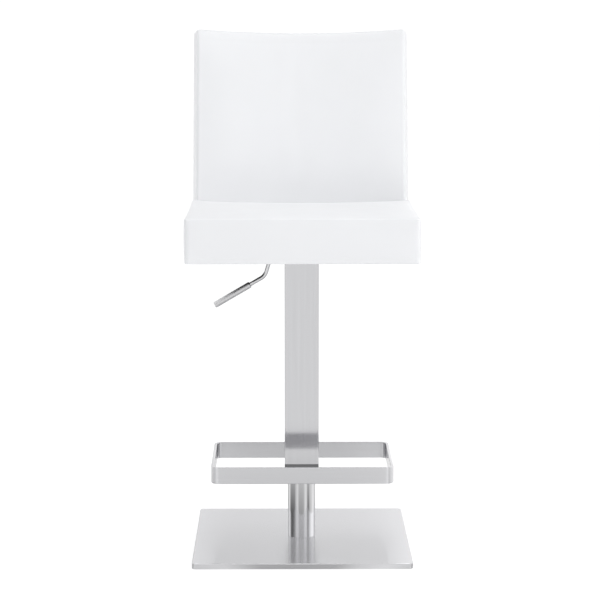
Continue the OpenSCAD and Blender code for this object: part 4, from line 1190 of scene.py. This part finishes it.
def grey(value):
    """A grey as a node's colour."""
    return (value, value, value, 1.0)


def emptied(owner):
    """Empties the nodes of a material or a world, and gives the function that adds new ones."""
    owner.use_nodes = True
    owner.node_tree.nodes.clear()
    return node_maker(owner.node_tree)


def seen_directly(add):
    """One for camera rays and transmitted ones, none for the rest."""
    rays = [add("LightPath", output=f"Is {kind} Ray") for kind in ("Camera", "Transmission")]
    return add("Math", rays, operation="MAXIMUM")


def panel_light(add, way, share):
    """Brightness by compass direction: the panels' ramp over the angle of a vector's x and -y, times
    the given share."""
    apart, depth = (add("SeparateXYZ", [way], output=axis) for axis in "XY")
    front = add("Math", (depth, -1.0), operation="MULTIPLY")
    around = add("Math", (apart, front), operation="ARCTAN2")
    turn = add("MapRange", {"Value": around, "From Min": -math.pi, "From Max": math.pi})
    ramp = add("ValToRGB", [turn])
    stops = ramp.node.color_ramp.elements
    stops.remove(stops[-1])
    stops[0].position = 0.0
    for k, (azimuth, brightness) in enumerate(PANELS):
        stop = stops.new((azimuth + 180) / 360) if k else stops[0]
        stop.color = grey(brightness / PANEL_PEAK)
    return mixed_colour(add, 1.0, ramp, grey(share * PANEL_PEAK), "MULTIPLY")


def faded_panels(add, way, share, distance, fade):
    """The panels' light, fading to white between two distances."""
    far = add("MapRange", {"Value": distance, "From Min": fade[0], "From Max": fade[1]})
    return mixed_colour(add, far, panel_light(add, way, share), grey(1.0))


def floor_finish():
    """Pale floor. Camera rays see it white with the stool's soft shadow, glossy rays see the same
    white with the low panels mirrored in it close to the base, diffuse rays see pale paint, and from
    below it is clear."""
    material = bpy.data.materials.new("pale_floor")
    add = emptied(material)
    where = add("TexCoord", output="Object")
    distance = add("VectorMath", [where], output="Value", operation="LENGTH")
    mirrored = add("Emission", [faded_panels(add, where, FLOOR_PANELS, distance, FLOOR_FADE)])
    paint = add("BsdfDiffuse", [grey(FLOOR_PAINT)])
    white = add("Emission", {"Strength": FLOOR_WHITE})
    seen = add("AddShader", (add("BsdfDiffuse", [grey(FLOOR_SHADE)]), white))
    indirect = add("MixShader", (add("LightPath", output="Is Glossy Ray"), paint, mirrored))
    above = add("MixShader", (seen_directly(add), indirect, seen))
    below = add("NewGeometry", output="Backfacing")
    add("OutputMaterial", [add("MixShader", (below, above, add("BsdfTransparent")))])
    return material


def studio_world():
    """White to camera and glossy rays, with the panels low around the stool for glossy ones, and an
    even studio light to diffuse rays."""
    world = bpy.data.worlds.new("studio")
    add = emptied(world)
    way = add("TexCoord", output="Generated")
    height = add("SeparateXYZ", [way], output="Z")
    mirrored = add("Background", [faded_panels(add, way, 1.0, height, PANEL_FADE)])
    even = add("Background", (WORLD_TINT, WORLD_LIGHT))
    indirect = add("MixShader", (add("LightPath", output="Is Glossy Ray"), even, mirrored))
    white = add("Background", (grey(1.0), WORLD_WHITE))
    add("OutputWorld", [add("MixShader", (seen_directly(add), indirect, white))])
    bpy.context.scene.world = world


def placed(name, data, place, turn):
    """A lamp or a camera at its place, turned by three angles."""
    item = bpy.data.objects.new(name, data)
    item.location = place
    item.rotation_euler = turn
    bpy.context.scene.collection.objects.link(item)
    return item


def softbox(name, place, target, side, power, mirrored):
    """A square area light that points from its place at its target, out of the camera's sight."""
    light = bpy.data.lights.new(name, "AREA")
    light.shape = "SQUARE"
    light.size = side
    light.energy = power
    way = Vector(target) - Vector(place)
    lamp = placed(name, light, place, way.to_track_quat("-Z", "Y").to_euler())
    lamp.visible_camera = False
    lamp.visible_glossy = mirrored


class STOOL_OT_stage(Operator):
    """Pale floor, soft studio light and the camera"""

    bl_idname = "stool.stage"
    bl_label = "Stage"

    def execute(self, context):
        scene = context.scene
        mesh = bpy.data.meshes.new("studio_floor")
        side = FLOOR_SIDE / 2
        mesh.from_pydata([(-side, -side, 0), (side, -side, 0), (side, side, 0), (-side, side, 0)], [],
                         [(0, 1, 2, 3)])
        mesh.materials.append(floor_finish())
        floor = bpy.data.objects.new("studio_floor", mesh)
        scene.collection.objects.link(floor)
        for box in SOFTBOXES:
            softbox(*box)
        studio_world()
        camera = bpy.data.cameras.new("camera")
        camera.lens = CAMERA_LENS
        camera.dof.use_dof = False
        turn = [math.radians(v) for v in (90 - CAMERA_PITCH, 0, -CAMERA_YAW)]
        scene.camera = placed("camera", camera, CAMERA_PLACE, turn)
        scene.view_settings.view_transform = "Standard"
        return {"FINISHED"}


STEPS = (
    STOOL_OT_hardware, STOOL_OT_base, STOOL_OT_round_tube, STOOL_OT_column, STOOL_OT_footrest,
    STOOL_OT_lever, STOOL_OT_lining, STOOL_OT_seat_cushion, STOOL_OT_back_cushion, STOOL_OT_stage,
)
GROUPS = {
    "stool_steel": StoolSteelSizes, "stool_lever": StoolLeverSizes, "stool_seat": StoolSeatSizes,
    "stool_back": StoolBackSizes, "stool_seams": StoolSeamSizes, "stool_cloth": StoolClothSizes,
    "stool_finishes": StoolFinishes,
}


class STOOL_PT_steps(Panel):
    """The stool's pieces, in the order in which they are made"""

    bl_idname = "STOOL_PT_steps"
    bl_label = "Swivel Bar Stool"
    bl_space_type = "VIEW_3D"
    bl_region_type = "UI"
    bl_category = "Stool"

    def draw(self, context):
        for step in STEPS:
            self.layout.operator(step.bl_idname)
        for name, group in GROUPS.items():
            box = self.layout.box()
            for key in group.__annotations__:
                box.prop(getattr(context.scene, name), key)


def register():
    for group in (*GROUPS.values(), *STEPS, STOOL_PT_steps):
        bpy.utils.register_class(group)
    for name, group in GROUPS.items():
        setattr(bpy.types.Scene, name, PointerProperty(type=group))


def unregister():
    for name in GROUPS:
        delattr(bpy.types.Scene, name)
    for group in reversed((*GROUPS.values(), *STEPS, STOOL_PT_steps)):
        bpy.utils.unregister_class(group)


def main():
    register()
    bpy.ops.stool.hardware()
    bpy.ops.stool.base()
    bpy.ops.stool.round_tube()
    bpy.ops.stool.column()
    bpy.ops.stool.footrest()
    bpy.ops.stool.lever()
    bpy.ops.stool.lining()
    bpy.ops.stool.seat_cushion()
    bpy.ops.stool.back_cushion()
    bpy.ops.stool.stage()


if __name__ == "__main__":
    main()
